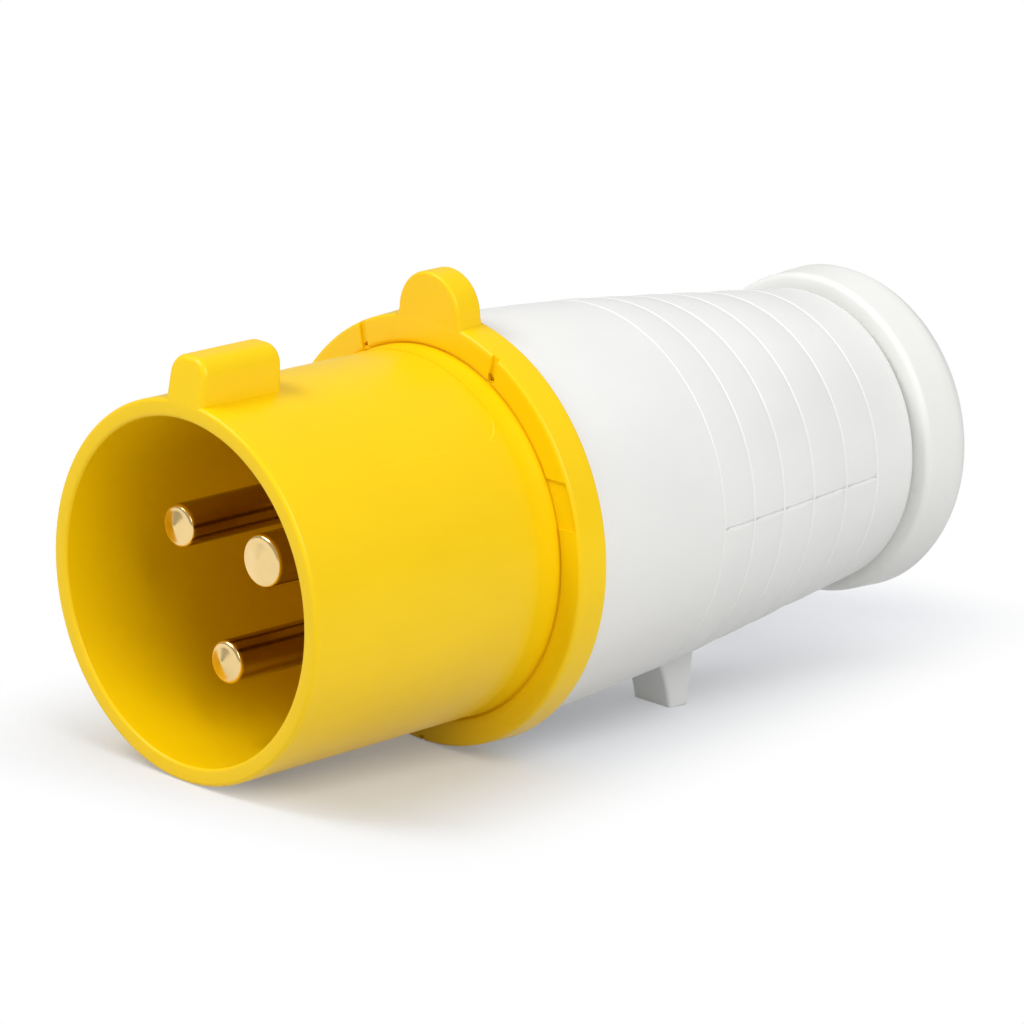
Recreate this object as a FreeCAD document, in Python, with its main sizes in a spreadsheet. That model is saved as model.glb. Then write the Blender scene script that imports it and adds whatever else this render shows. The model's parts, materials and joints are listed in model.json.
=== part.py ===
import FreeCAD, Part

import math
import os

import Sketcher

# A three-pin pin-and-sleeve plug: a shroud moulding with its key and flange, three contact
# pins in a carrier behind the shroud's base, a tapered rear housing and a cord gland.
# X runs along the plug's axis from the open mouth to the gland, Z points at the key.
# The origin is on the axis, in the front face of the flange. Lengths are in millimetres.

SIZES = [
    # shroud
    ("shroud_len", 36.6, "mouth to flange face"),
    ("shroud_root_r", 21.8, "outside of the shroud where the flare starts"),
    ("mouth_draft", 0.15, "how much further out the shroud is at the mouth"),
    ("shroud_wall", 2.35, "shroud wall at its base"),
    ("bore_draft", 0.4, "how much further out the bore is at the mouth"),
    ("rim_round", 0.9, "outer round of the mouth"),
    ("rim_inner_round", 0.4, "inner round of the mouth"),
    ("base_front", 1.5, "front face of the base, ahead of the flange face"),
    ("base_rear", 2.0, "rear face of the base, behind the flange face"),
    ("flare_len", 3.4, "length of the flare ahead of the flange"),
    ("flare_gap", 0.3, "end of the flare, ahead of the flange face"),
    ("flare_rise", 0.1, "how far the flare climbs"),
    ("flare_round", 9.8, "radius of the flare's curve"),
    ("crease_width", 0.35, "width of the crease round the flare"),
    ("crease_depth", 0.5, "depth of the crease in the flange face"),
    # flange and ear
    ("flange_land", 3.1, "width of the flange's face outside the crease"),
    ("flange_draft", 0.15, "how much further out the flange is at the rear"),
    ("flange_thick", 4.2, "flange thickness"),
    ("flange_edge", 0.45, "round of the flange's edges"),
    ("ear_r", 4.95, "half width and top radius of the ear"),
    ("ear_above", 0.45, "height of the ear's centre above the flange's edge"),
    ("ear_sink", 1.7, "how deep the ear starts inside the flange"),
    ("ear_thick", 3.8, "ear thickness"),
    ("ear_edge", 0.35, "edge round of the ear"),
    ("slit_y", 11.0, "inner side of the upright slits in the flange face"),
    ("slit_width", 0.8, "width of those slits"),
    ("slit_foot", 2.5, "lower end of those slits inside the shroud's radius"),
    ("slit_top", 1.9, "upper end of those slits inside the flange's radius"),
    ("slit_depth", 0.6, "depth of those slits"),
    ("pocket_low", 5.2, "lower edge of the side pockets in the flange face"),
    ("pocket_high", 10.6, "upper edge of the side pockets"),
    ("pocket_rim", 0.35, "rim of the flange outside the side pockets"),
    ("pocket_depth", 0.3, "depth of the side pockets"),
    ("nick_width", 0.7, "width of the nick at the foot of the flange"),
    ("nick_rise", 0.8, "height of that nick"),
    ("nick_depth", 1.1, "depth of that nick"),
    # key
    ("key_width", 5.0, "key width"),
    ("key_rise", 5.15, "height of the key above the shroud"),
    ("key_sink", 1.25, "how deep the key starts inside the shroud wall"),
    ("key_len", 11.5, "key length"),
    ("key_set_back", 0.05, "key front behind the mouth"),
    ("key_rake", 1.2, "how far the key's front leans back at its top"),
    ("key_end_round", 0.35, "round along the edges of the key's front and rear"),
    ("key_edge_round", 1.5, "round along the key's long edges"),
    # skirt behind the flange
    ("skirt_step", 0.4, "how far the skirt lies inside the shroud's radius"),
    ("skirt_wall", 2.1, "skirt wall"),
    ("skirt_end", 15.0, "rear end of the skirt"),
    ("skirt_edge", 0.4, "edge break of the skirt"),
    ("bead_x", 10.6, "front of the snap bead on the skirt"),
    ("bead_width", 1.8, "width of the snap bead"),
    ("bead_rise", 0.35, "height of the snap bead"),
    ("skirt_gap", 0.15, "clearance round the skirt and its bead"),
    # contact pins
    ("pin_ring_r", 9.38, "radius of the circle that the pins stand on"),
    ("line_r", 2.5, "radius of the line and neutral pins"),
    ("earth_r", 3.0, "radius of the earth pin"),
    ("line_tip", 31.2, "line and neutral tips ahead of the flange face"),
    ("earth_tip", 33.3, "earth tip ahead of the flange face"),
    ("tip_rise", 0.45, "rise of the tip's shallow cone"),
    ("tip_round", 0.75, "round between the tip and the pin's side"),
    ("root_rise", 0.3, "how much thicker a pin is where it passes the base"),
    ("pin_gap", 0.1, "clearance round a pin's root in the base"),
    ("collar_r", 5.0, "collar radius"),
    ("collar_x", 2.1, "front face of the collar"),
    ("collar_thick", 1.8, "collar thickness"),
    ("turned_edge", 0.25, "edge break of the turned pieces"),
    ("shank_r", 3.4, "shank radius behind the collar"),
    ("barrel_x", 8.4, "front end of the terminal barrel"),
    ("barrel_r", 4.3, "terminal barrel radius"),
    ("barrel_end", 23.0, "rear end of the terminal barrel"),
    ("barrel_flat", 3.7, "height of the barrel's flat above its axis"),
    ("wire_bore_r", 2.1, "radius of the wire bore"),
    ("wire_bore_len", 11.0, "depth of the wire bore"),
    # terminal screws and wire guards
    ("screw_x", 16.6, "position of the terminal screws"),
    ("screw_r", 1.9, "terminal screw thread radius"),
    ("screw_gap", 0.1, "clearance round the terminal screw's thread"),
    ("screw_seat", 5.3, "underside of the screw head above the pin's axis"),
    ("screw_head_r", 3.0, "terminal screw head radius"),
    ("screw_head_thick", 2.1, "terminal screw head thickness"),
    ("screw_slot", 0.8, "width of a driver slot"),
    ("screw_slot_depth", 1.0, "depth of a driver slot"),
    ("guard_width", 2.2, "width of the wire guard"),
    ("guard_low", 1.3, "underside of the wire guard above the pin's axis"),
    ("guard_thick", 0.4, "thickness of the wire guard"),
    ("guard_front", 1.0, "wire guard's front end behind the bottom of the bore"),
    ("guard_lip", 4.2, "height of the wire guard's lip above the pin's axis"),
    ("guard_gap", 0.2, "gap between the lip and the barrel"),
    # contact carrier
    ("carrier_gap", 0.2, "clearance round the carrier's disc"),
    ("carrier_front", 2.1, "front face of the disc"),
    ("carrier_rear", 8.2, "rear face of the disc"),
    ("tower_r", 6.3, "outer radius of a terminal chamber"),
    ("tower_end", 24.2, "rear end of the terminal chambers"),
    ("core_r", 4.4, "radius of the core between the chambers"),
    ("chamber_gap", 0.3, "clearance round a barrel in its chamber"),
    ("shank_gap", 0.1, "clearance round a collar and round a barrel in the disc"),
    ("window_width", 7.2, "width of a chamber's screw window"),
    ("window_front", 12.0, "front end of a screw window"),
    # carrier screws and their bosses
    ("boss_side", 1.4, "room between a screw boss and the skirt"),
    ("boss_r", 3.1, "radius of a screw boss on the base"),
    ("boss_len", 3.0, "length of a screw boss"),
    ("boss_gap", 0.15, "clearance round a screw boss"),
    ("fixing_r", 1.45, "carrier screw thread radius"),
    ("fixing_grip", 0.02, "the pilot hole's clearance round that thread"),
    ("fixing_pass", 0.2, "clearance round that thread in the disc"),
    ("fixing_head_r", 2.8, "carrier screw head radius"),
    ("fixing_head_thick", 1.9, "carrier screw head thickness"),
    ("fixing_seat", 1.5, "depth of the head's seat in the disc"),
    ("fixing_reach", 2.2, "how far the screw passes the base's rear face"),
    ("fixing_spare", 0.4, "pilot hole beyond the screw's end"),
    # rear housing
    ("joint_gap", 0.1, "gap between the flange and the housing"),
    ("housing_step", 1.45, "how far the housing lies inside the flange's edge"),
    ("front_crown", 370.0, "radius of the long front curve"),
    ("ring_crown", 44.0, "radius of the curve between two rings"),
    ("ring_a_x", 26.3, "first ring"),
    ("ring_a_drop", 1.39, "how far the housing has narrowed at the first ring"),
    ("ring_b_x", 32.0, "second ring"),
    ("ring_b_drop", 2.02, "how far the housing has narrowed at the second ring"),
    ("ring_c_x", 37.8, "third ring"),
    ("ring_c_drop", 2.75, "how far the housing has narrowed at the third ring"),
    ("ring_d_x", 43.7, "fourth ring"),
    ("ring_d_drop", 3.45, "how far the housing has narrowed at the fourth ring"),
    ("ring_e_x", 50.3, "fifth ring"),
    ("ring_e_drop", 4.35, "how far the housing has narrowed at the fifth ring"),
    ("ring_f_x", 56.5, "sixth ring"),
    ("ring_f_drop", 5.0, "how far the housing has narrowed at the sixth ring"),
    ("ring_half", 0.19, "half width of a ring's groove"),
    ("ring_deep", 0.17, "depth of a ring's groove"),
    ("neck_x", 64.6, "rear end of the housing's outer wall"),
    ("neck_drop", 5.8, "how far the housing has narrowed at its neck"),
    ("neck_round", 1.6, "round of the neck"),
    ("housing_wall", 2.3, "housing wall"),
    ("socket_end", 16.2, "rear end of the bore that takes the skirt"),
    ("stop_rise", 0.5, "step at the rear end of that bore"),
    ("seat_x", 57.0, "face that the cord seal seats on"),
    ("seat_thick", 1.8, "thickness of the seal seat"),
    ("seat_lip", 0.8, "how far the seat reaches past the split of the cord seal"),
    ("seat_room", 0.4, "clearance round the cage in the gland's bore"),
    ("spigot_wall", 2.9, "wall of the threaded spigot"),
    ("spigot_end", 69.5, "rear end of the spigot"),
    ("spigot_edge", 0.6, "lead-in of the spigot"),
    ("seam_depth", 0.34, "depth of the mould seam's groove"),
    ("seam_width", 0.6, "width of the mould seam's groove"),
    # lid-retaining lug under the housing
    ("lug_width", 5.7, "lug width"),
    ("lug_sink", 0.7, "how deep the lug starts inside the wall"),
    ("lug_foot", 29.3, "depth of the lug's foot"),
    ("lug_root_front", 36.2, "front of the lug at its root"),
    ("lug_root_rear", 42.7, "rear of the lug at its root"),
    ("lug_foot_front", 38.75, "front of the lug's foot"),
    ("lug_foot_rear", 42.1, "rear of the lug's foot"),
    ("lug_hollow", 16.0, "radius of the hollow down the lug's front"),
    ("lug_edge", 0.5, "edge round of the lug"),
    # housing seal
    ("seal_width", 1.05, "radial width of the housing seal"),
    ("seal_thick", 1.5, "thickness of the housing seal"),
    ("seal_edge", 0.35, "edge round of the housing seal"),
    ("seal_gap", 0.1, "clearance round the housing seal"),
    # cord gland
    ("grommet_gap", 0.15, "clearance between the gland's pieces"),
    ("grommet_len", 8.2, "length of the cord seal"),
    ("outer_seal_width", 4.15, "width of the cord seal's outer ring"),
    ("inner_seal_width", 3.35, "width of the cord seal's inner ring"),
    ("cord_r", 5.5, "bore of the inner ring"),
    ("cage_ring_width", 2.3, "width of the cage's ring"),
    ("cage_ring_thick", 1.4, "thickness of the cage's ring"),
    ("cage_len", 5.2, "length of the cage"),
    ("finger_thick", 1.5, "thickness of the fingers"),
    ("tooth_reach", 1.5, "how far the teeth stand inside the fingers"),
    ("finger_taper", 0.9, "taper at the fingers' ends"),
    ("finger_slot", 1.7, "gap between two fingers"),
    ("finger_count", 10, "number of fingers"),
    ("washer_thick", 0.6, "slip washer thickness"),
    ("washer_lap", 1.5, "how far the washer reaches past the gland's bore"),
    ("washer_gap", 0.1, "how much wider the washer's bore is than the teeth"),
    # gland nut
    ("nut_front", 64.8, "front face of the gland nut"),
    ("nut_side_wall", 3.45, "wall of the nut round its thread"),
    ("nut_draft", 0.25, "how much further out the nut is at its side's rear end"),
    ("nut_side_end", 70.2, "rear end of the nut's side"),
    ("nut_front_round", 0.5, "round of the nut's front edge"),
    ("nut_dome", 6.5, "radius of the dome behind the nut's side"),
    ("nut_thread_gap", 0.2, "clearance round the spigot's thread"),
    ("nut_lead", 0.6, "lead-in of the nut's thread"),
    ("nut_wall", 1.8, "thickness of the nut's rear wall"),
    ("nut_land", 3.5, "width of the flat round the nut's opening"),
    ("nut_bore_gap", 0.4, "how much wider the nut's opening is than the teeth"),
    ("nut_bore_round", 1.2, "bell mouth of the cord opening"),
    ("whole_turn", 360.0, "degrees of a full turn"),
]
VALUES = {alias: float(value) for alias, value, _ in SIZES}

# sizes that follow from those of the sheet, each written as a formula
DERIVED = {
    "half_turn": "whole_turn / 2",
    "third_turn": "whole_turn / 3",
    "mouth_r": "shroud_root_r + mouth_draft",
    "bore_root_r": "shroud_root_r - shroud_wall",
    "bore_r": "bore_root_r + bore_draft",
    "flare_r": "shroud_root_r + flare_rise",
    "crease_r": "flare_r + crease_width",
    "flange_front_r": "crease_r + flange_land",
    "flange_r": "flange_front_r + flange_draft",
    "ear_centre": "flange_r + ear_above",
    "ear_root": "flange_r - ear_sink",
    "slit_low": "shroud_root_r - slit_foot",
    "slit_high": "flange_r - slit_top",
    "pocket_r": "flange_front_r - pocket_rim",
    "key_top": "mouth_r + key_rise",
    "key_root": "mouth_r - key_sink",
    "skirt_r": "shroud_root_r - skirt_step",
    "skirt_bore_r": "skirt_r - skirt_wall",
    "carrier_r": "skirt_bore_r - carrier_gap",
    "boss_ring_r": "skirt_bore_r - boss_side - boss_r",
    "seal_r": "skirt_r + skirt_gap",
    "stop_r": "skirt_r - stop_rise",
    "housing_front_r": "flange_r - housing_step",
    "ring_a_r": "housing_front_r - ring_a_drop",
    "ring_b_r": "housing_front_r - ring_b_drop",
    "ring_c_r": "housing_front_r - ring_c_drop",
    "ring_d_r": "housing_front_r - ring_d_drop",
    "ring_e_r": "housing_front_r - ring_e_drop",
    "ring_f_r": "housing_front_r - ring_f_drop",
    "neck_r": "housing_front_r - neck_drop",
    "lug_root": "ring_d_r - lug_sink",
    "grommet_split_r": "cord_r + inner_seal_width + grommet_gap",
    "gland_bore_r": "grommet_split_r + outer_seal_width + grommet_gap",
    "seat_r": "grommet_split_r - seat_lip",
    "spigot_r": "gland_bore_r + spigot_wall",
    "cage_r": "gland_bore_r - seat_room",
    "cage_ring_r": "cage_r - cage_ring_width",
    "finger_r": "cage_r - finger_thick",
    "finger_tooth_r": "finger_r - tooth_reach",
    "washer_r": "gland_bore_r + washer_lap",
    "washer_bore_r": "finger_tooth_r + washer_gap",
    "nut_front_r": "spigot_r + nut_thread_gap + nut_side_wall",
    "nut_rear_r": "nut_front_r + nut_draft",
    "nut_bore_r": "finger_tooth_r + nut_bore_gap",
    "nut_land_r": "nut_bore_r + nut_land",
}

doc = FreeCAD.newDocument("industrial_plug")
sheet = doc.addObject("Spreadsheet::Sheet", "Sizes")
for row, (alias, value, meaning) in enumerate(SIZES, start=1):
    sheet.set("A%d" % row, meaning)
    sheet.set("B%d" % row, str(value))
    sheet.setAlias("B%d" % row, alias)
doc.recompute()


def formula(text):
    """The sheet formula for words such as 'flange_thick + joint_gap * 2'."""
    words = []
    for word in text.split():
        name = word.lstrip("-")
        sign = word[: len(word) - len(name)]
        if name in DERIVED:
            word = sign + "(" + formula(DERIVED[name]) + ")"
        elif name in VALUES:
            word = sign + "Sizes." + name
        words.append(word)
    return " ".join(words)


def number(text):
    """The starting value of the same formula."""
    total = 0.0
    for term in text.replace(" - ", " + -").split(" + "):
        product = 1.0
        divide = False
        for word in term.split():
            if word == "/":
                divide = True
            elif word != "*":
                name = word.lstrip("-")
                value = VALUES[name] if name in VALUES else float(name)
                if word.startswith("-"):
                    value = -value
                product = product / value if divide else product * value
                divide = False
        total += product
    return total


for derived, words in DERIVED.items():
    VALUES[derived] = number(words)


def new_body(label):
    """An empty body named as its piece."""
    body = doc.addObject("PartDesign::Body", label)
    body.Label = label
    return body


def plane_of(body, role):
    """One of the body's own origin planes."""
    for item in body.Origin.OriginFeatures:
        if item.Role == role:
            return item
    raise ValueError(role)


def new_sketch(body, name, role, along="", up="", right="", turn=""):
    """A sketch on an origin plane, moved along its normal, up and right, or turned on it."""
    sketch = body.newObject("Sketcher::SketchObject", name)
    sketch.AttachmentSupport = [(plane_of(body, role), "")]
    sketch.MapMode = "FlatFace"
    if turn:
        rotation = FreeCAD.Rotation(FreeCAD.Vector(0, 0, 1), number(turn))
        sketch.AttachmentOffset = FreeCAD.Placement(FreeCAD.Vector(0, 0, 0), rotation)
        sketch.setExpression("AttachmentOffset.Rotation.Angle", formula(turn))
    for axis, text in (("z", along), ("y", up), ("x", right)):
        if text:
            sketch.setExpression("AttachmentOffset.Base." + axis, formula(text))
    return sketch


def bind(sketch, kind, refs, text):
    """One driving dimension of a sketch, read from the sheet."""
    value = number(text)
    index = sketch.addConstraint(Sketcher.Constraint(kind, *refs, value))
    sketch.setExpression("Constraints[%d]" % index, formula(text))


def arc_between(start, end, radius, turn):
    """The shorter arc from start to end, and whether it was drawn backwards."""
    if turn < 0:
        start, end = end, start
    chord = end - start
    half = chord.Length / 2
    side = FreeCAD.Vector(-chord.y, chord.x, 0).normalize()
    centre = (start + end) * 0.5 + side * math.sqrt(max(radius ** 2 - half ** 2, 0.0))
    first = math.atan2(start.y - centre.y, start.x - centre.x)
    last = math.atan2(end.y - centre.y, end.x - centre.x)
    circle = Part.Circle(centre, FreeCAD.Vector(0, 0, 1), radius)
    return Part.ArcOfCircle(circle, first, last), turn < 0


def outline(sketch, points):
    """A closed outline. A point is (x, y), or (x, y, radius, turn) where an arc follows it."""
    spots = [FreeCAD.Vector(number(point[0]), number(point[1]), 0) for point in points]
    ends = []
    for index, point in enumerate(points):
        start = spots[index]
        end = spots[(index + 1) % len(points)]
        if len(point) == 4:
            shape, backwards = arc_between(start, end, number(point[2]), point[3])
            edge = sketch.addGeometry(shape, False)
            bind(sketch, "Radius", (edge,), point[2])
            ends.append((edge, 2, 1) if backwards else (edge, 1, 2))
        else:
            edge = sketch.addGeometry(Part.LineSegment(start, end), False)
            ends.append((edge, 1, 2))
    for index, (edge, first, last) in enumerate(ends):
        following = ends[(index + 1) % len(ends)]
        joint = Sketcher.Constraint("Coincident", edge, last, following[0], following[1])
        sketch.addConstraint(joint)
        bind(sketch, "DistanceX", (-1, 1, edge, first), points[index][0])
        bind(sketch, "DistanceY", (-1, 1, edge, first), points[index][1])
    return sketch


def circle(sketch, x, y, radius):
    """A full circle with its centre and radius read from the sheet."""
    centre = FreeCAD.Vector(number(x), number(y), 0)
    ring = Part.Circle(centre, FreeCAD.Vector(0, 0, 1), number(radius))
    edge = sketch.addGeometry(ring, False)
    bind(sketch, "Radius", (edge,), radius)
    bind(sketch, "DistanceX", (-1, 1, edge, 3), x)
    bind(sketch, "DistanceY", (-1, 1, edge, 3), y)
    return sketch


def rectangle(sketch, left, low, right, high):
    """An upright rectangle between four formulas."""
    return outline(sketch, [(left, low), (right, low), (right, high), (left, high)])


def working(feature):
    """Stops where a feature failed or left a shape that isn't sound."""
    if "Invalid" in feature.State or "Error" in feature.State or not feature.Shape.isValid():
        raise ValueError(feature.Name + " failed")


def revolve(body, sketch, name, axis="H_Axis"):
    """A full turn of a sketch about one of its own axes."""
    feature = body.newObject("PartDesign::Revolution", name)
    feature.Profile = sketch
    feature.ReferenceAxis = (sketch, [axis])
    feature.Angle = 360
    doc.recompute()
    working(feature)
    return feature


def extrude(body, sketch, name, length, cut=False, reverse=False, both=False):
    """A pad or a pocket of a sketch; a pocket's volume is compared with its body's."""
    before = body.Shape.Volume if body.Tip else 0.0
    kind = "PartDesign::Pocket" if cut else "PartDesign::Pad"
    feature = body.newObject(kind, name)
    feature.Profile = sketch
    feature.setExpression("Length", formula(length))
    feature.Reversed = reverse
    if both:
        feature.SideType = "Symmetric"
    doc.recompute()
    working(feature)
    change = body.Shape.Volume - before
    if (change >= 0) == cut:
        raise ValueError("%s changed nothing (%.3f)" % (name, change))
    return feature


def ring_of(body, sketch, feature, name, count, angle="whole_turn"):
    """Copies of a feature round the plug's axis, which is the sketch's normal."""
    pattern = body.newObject("PartDesign::PolarPattern", name)
    pattern.Originals = [feature]
    pattern.Axis = (sketch, ["N_Axis"])
    pattern.setExpression("Angle", formula(angle))
    if isinstance(count, str):
        pattern.setExpression("Occurrences", formula(count))
    else:
        pattern.Occurrences = count
    body.Tip = pattern
    doc.recompute()
    working(pattern)
    return pattern


def mirror(body, feature, name, role="XZ_Plane"):
    """The same feature on the other side of the plug."""
    copy = body.newObject("PartDesign::Mirrored", name)
    copy.Originals = [feature]
    copy.MirrorPlane = (plane_of(body, role), [""])
    body.Tip = copy
    doc.recompute()
    working(copy)
    return copy


def soften(body, name, radius, wanted):
    """A fillet on the edges that the test picks."""
    base = body.Tip
    edges = []
    for index, edge in enumerate(base.Shape.Edges, start=1):
        if wanted(edge):
            edges.append("Edge%d" % index)
    if not edges:
        raise ValueError(name + " found no edge")
    fillet = body.newObject("PartDesign::Fillet", name)
    fillet.Base = (base, edges)
    fillet.setExpression("Radius", formula(radius))
    doc.recompute()
    working(fillet)
    return fillet


def turned(body, angle):
    """Turns a piece that was drawn under the key about the plug's axis."""
    body.Placement = FreeCAD.Placement(
        FreeCAD.Vector(0, 0, 0), FreeCAD.Rotation(FreeCAD.Vector(1, 0, 0), number(angle)))
    body.setExpression("Placement.Rotation.Angle", formula(angle))


PINS = [
    # piece, radius, tip, place round the axis
    ("earth", "earth_r", "earth_tip", "half_turn - third_turn"),
    ("line", "line_r", "line_tip", "half_turn + third_turn"),
    ("neutral", "line_r", "line_tip", "half_turn"),
]

# the front moulding: key, ear, shroud, flange, base and skirt
front = new_body("front_shroud")
# the key: its side view is padded across, then its long edges and its ends are rounded
key_side = new_sketch(front, "key_side", "XZ_Plane")
outline(key_side, [
    ("-shroud_len + key_set_back", "key_root"),
    ("-shroud_len + key_set_back", "mouth_r"),
    ("-shroud_len + key_set_back + key_rake", "key_top"),
    ("-shroud_len + key_len", "key_top"),
    ("-shroud_len + key_len", "key_root"),
])
extrude(front, key_side, "key", "key_width", both=True)


def key_edge(edge):
    """The long top edges of the key."""
    return edge.BoundBox.ZMin > number("key_top") - 0.1 and edge.BoundBox.XLength > 2.0


def key_end_edge(edge):
    """The edges round the key's raked front and round its rear, above the shroud."""
    box = edge.BoundBox
    return box.XLength < number("key_rake") + 0.1 and box.ZMax > number("mouth_r") + 0.1


soften(front, "key_round", "key_edge_round", key_edge)
soften(front, "key_end", "key_end_round", key_end_edge)

# the ear on the flange, in line with the key
ear_face = new_sketch(front, "ear_face", "YZ_Plane")
outline(ear_face, [
    ("-ear_r", "ear_root"),
    ("ear_r", "ear_root"),
    ("ear_r", "ear_centre", "ear_r", 1),
    ("0", "ear_centre + ear_r", "ear_r", 1),
    ("-ear_r", "ear_centre"),
])
extrude(front, ear_face, "ear", "ear_thick")


def ear_edge(edge):
    """The arcs round the ear's front and rear faces."""
    spots = [vertex.X for vertex in edge.Vertexes]
    high = edge.BoundBox.ZMax > number("ear_root") + 0.1
    return high and max(spots) - min(spots) < 1e-6 and min(spots) > -1e-6


soften(front, "ear_round", "ear_edge", ear_edge)

# the shroud, flange and skirt are one turn that takes in the key and the ear
section = new_sketch(front, "shroud_section", "XZ_Plane")
outline(section, [
    ("-shroud_len", "bore_r + rim_inner_round"),
    ("-shroud_len", "mouth_r - rim_round", "rim_round", -1),
    ("-shroud_len + rim_round", "mouth_r"),
    ("-flare_len", "shroud_root_r", "flare_round", 1),
    ("-flare_gap", "flare_r"),
    ("crease_depth", "flare_r"),
    ("crease_depth", "crease_r"),
    ("0", "crease_r"),
    ("0", "flange_front_r - flange_edge", "flange_edge", -1),
    ("flange_edge", "flange_front_r"),
    ("flange_thick - flange_edge", "flange_r", "flange_edge", -1),
    ("flange_thick", "flange_r - flange_edge"),
    ("flange_thick", "skirt_r"),
    ("bead_x", "skirt_r"),
    ("bead_x + bead_width / 2", "skirt_r + bead_rise"),
    ("bead_x + bead_width", "skirt_r"),
    ("skirt_end - skirt_edge", "skirt_r"),
    ("skirt_end", "skirt_r - skirt_edge"),
    ("skirt_end", "skirt_bore_r"),
    ("base_rear", "skirt_bore_r"),
    ("base_rear", "0"),
    ("-base_front", "0"),
    ("-base_front", "bore_root_r"),
    ("-shroud_len + rim_inner_round", "bore_r", "rim_inner_round", -1),
])
revolve(front, section, "shroud_turn")

# the flange's face: two upright slits, two side pockets and the nick at its foot
slit = new_sketch(front, "slit_face", "YZ_Plane")
rectangle(slit, "slit_y", "slit_low", "slit_y + slit_width", "slit_high")
slit_cut = extrude(front, slit, "slit", "slit_depth", cut=True, reverse=True)
mirror(front, slit_cut, "slit_pair")


def side_pocket(body, name):
    """A pocket between two heights and two circles round the axis."""
    sketch = new_sketch(body, name, "YZ_Plane")
    inner = number("crease_r")
    outer = number("pocket_r")
    low = number("pocket_low")
    high = number("pocket_high")

    def spot(radius, height):
        return FreeCAD.Vector(math.sqrt(radius ** 2 - height ** 2), height, 0)

    def ring(radius):
        rim = Part.Circle(FreeCAD.Vector(0, 0, 0), FreeCAD.Vector(0, 0, 1), radius)
        return Part.ArcOfCircle(rim, math.asin(low / radius), math.asin(high / radius))

    bottom = sketch.addGeometry(Part.LineSegment(spot(inner, low), spot(outer, low)), False)
    outside = sketch.addGeometry(ring(outer), False)
    top = sketch.addGeometry(Part.LineSegment(spot(outer, high), spot(inner, high)), False)
    inside = sketch.addGeometry(ring(inner), False)
    for one, two in (((bottom, 2), (outside, 1)), ((outside, 2), (top, 1)),
                     ((top, 2), (inside, 2)), ((inside, 1), (bottom, 1))):
        sketch.addConstraint(Sketcher.Constraint("Coincident", *one, *two))
    for edge in (bottom, top):
        sketch.addConstraint(Sketcher.Constraint("Horizontal", edge))
    for edge in (outside, inside):
        sketch.addConstraint(Sketcher.Constraint("Coincident", edge, 3, -1, 1))
    bind(sketch, "Radius", (outside,), "pocket_r")
    bind(sketch, "Radius", (inside,), "crease_r")
    bind(sketch, "DistanceY", (-1, 1, bottom, 1), "pocket_low")
    bind(sketch, "DistanceY", (-1, 1, top, 1), "pocket_high")
    return sketch


pocket_face = side_pocket(front, "pocket_face")
pocket_cut = extrude(front, pocket_face, "pocket", "pocket_depth", cut=True, reverse=True)
mirror(front, pocket_cut, "pocket_pair")

nick = new_sketch(front, "nick_face", "YZ_Plane")
rectangle(nick, "-nick_width / 2", "-flange_r - 1", "nick_width / 2", "-flange_r + nick_rise")
extrude(front, nick, "nick", "nick_depth", cut=True, reverse=True)

# bosses behind the base for the carrier screws, and the holes for the pins
boss = new_sketch(front, "boss_face", "YZ_Plane", along="base_rear")
circle(boss, "0", "boss_ring_r", "boss_r")
boss_pad = extrude(front, boss, "boss", "boss_len")
ring_of(front, boss, boss_pad, "boss_ring", 3)

pilot = new_sketch(front, "pilot_face", "YZ_Plane", along="base_rear + boss_len")
circle(pilot, "0", "boss_ring_r", "fixing_r + fixing_grip")
pilot_cut = extrude(
    front, pilot, "pilot", "boss_len + fixing_reach + fixing_spare", cut=True)
ring_of(front, pilot, pilot_cut, "pilot_ring", 3)

for pin, radius, _, turn in PINS:
    pin_hole = new_sketch(front, pin + "_hole", "YZ_Plane", along="-base_front", turn=turn)
    circle(pin_hole, "0", "pin_ring_r", radius + " + root_rise + pin_gap")
    extrude(front, pin_hole, pin + "_way", "base_front + base_rear", cut=True, reverse=True)


# the rear housing: its lug first, then one turn for the walls
housing = new_body("rear_housing")
lug = new_sketch(housing, "lug_side", "XZ_Plane")
outline(lug, [
    ("lug_root_front", "-lug_root", "lug_hollow", 1),
    ("lug_foot_front", "-lug_foot"),
    ("lug_foot_rear", "-lug_foot"),
    ("lug_root_rear", "-lug_root"),
])
extrude(housing, lug, "lug", "lug_width", both=True)


def lug_edges(edge):
    """Every edge of the lug but those at its root."""
    return min(vertex.Z for vertex in edge.Vertexes) < -number("lug_foot") + 0.1


soften(housing, "lug_round", "lug_edge", lug_edges)

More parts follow.
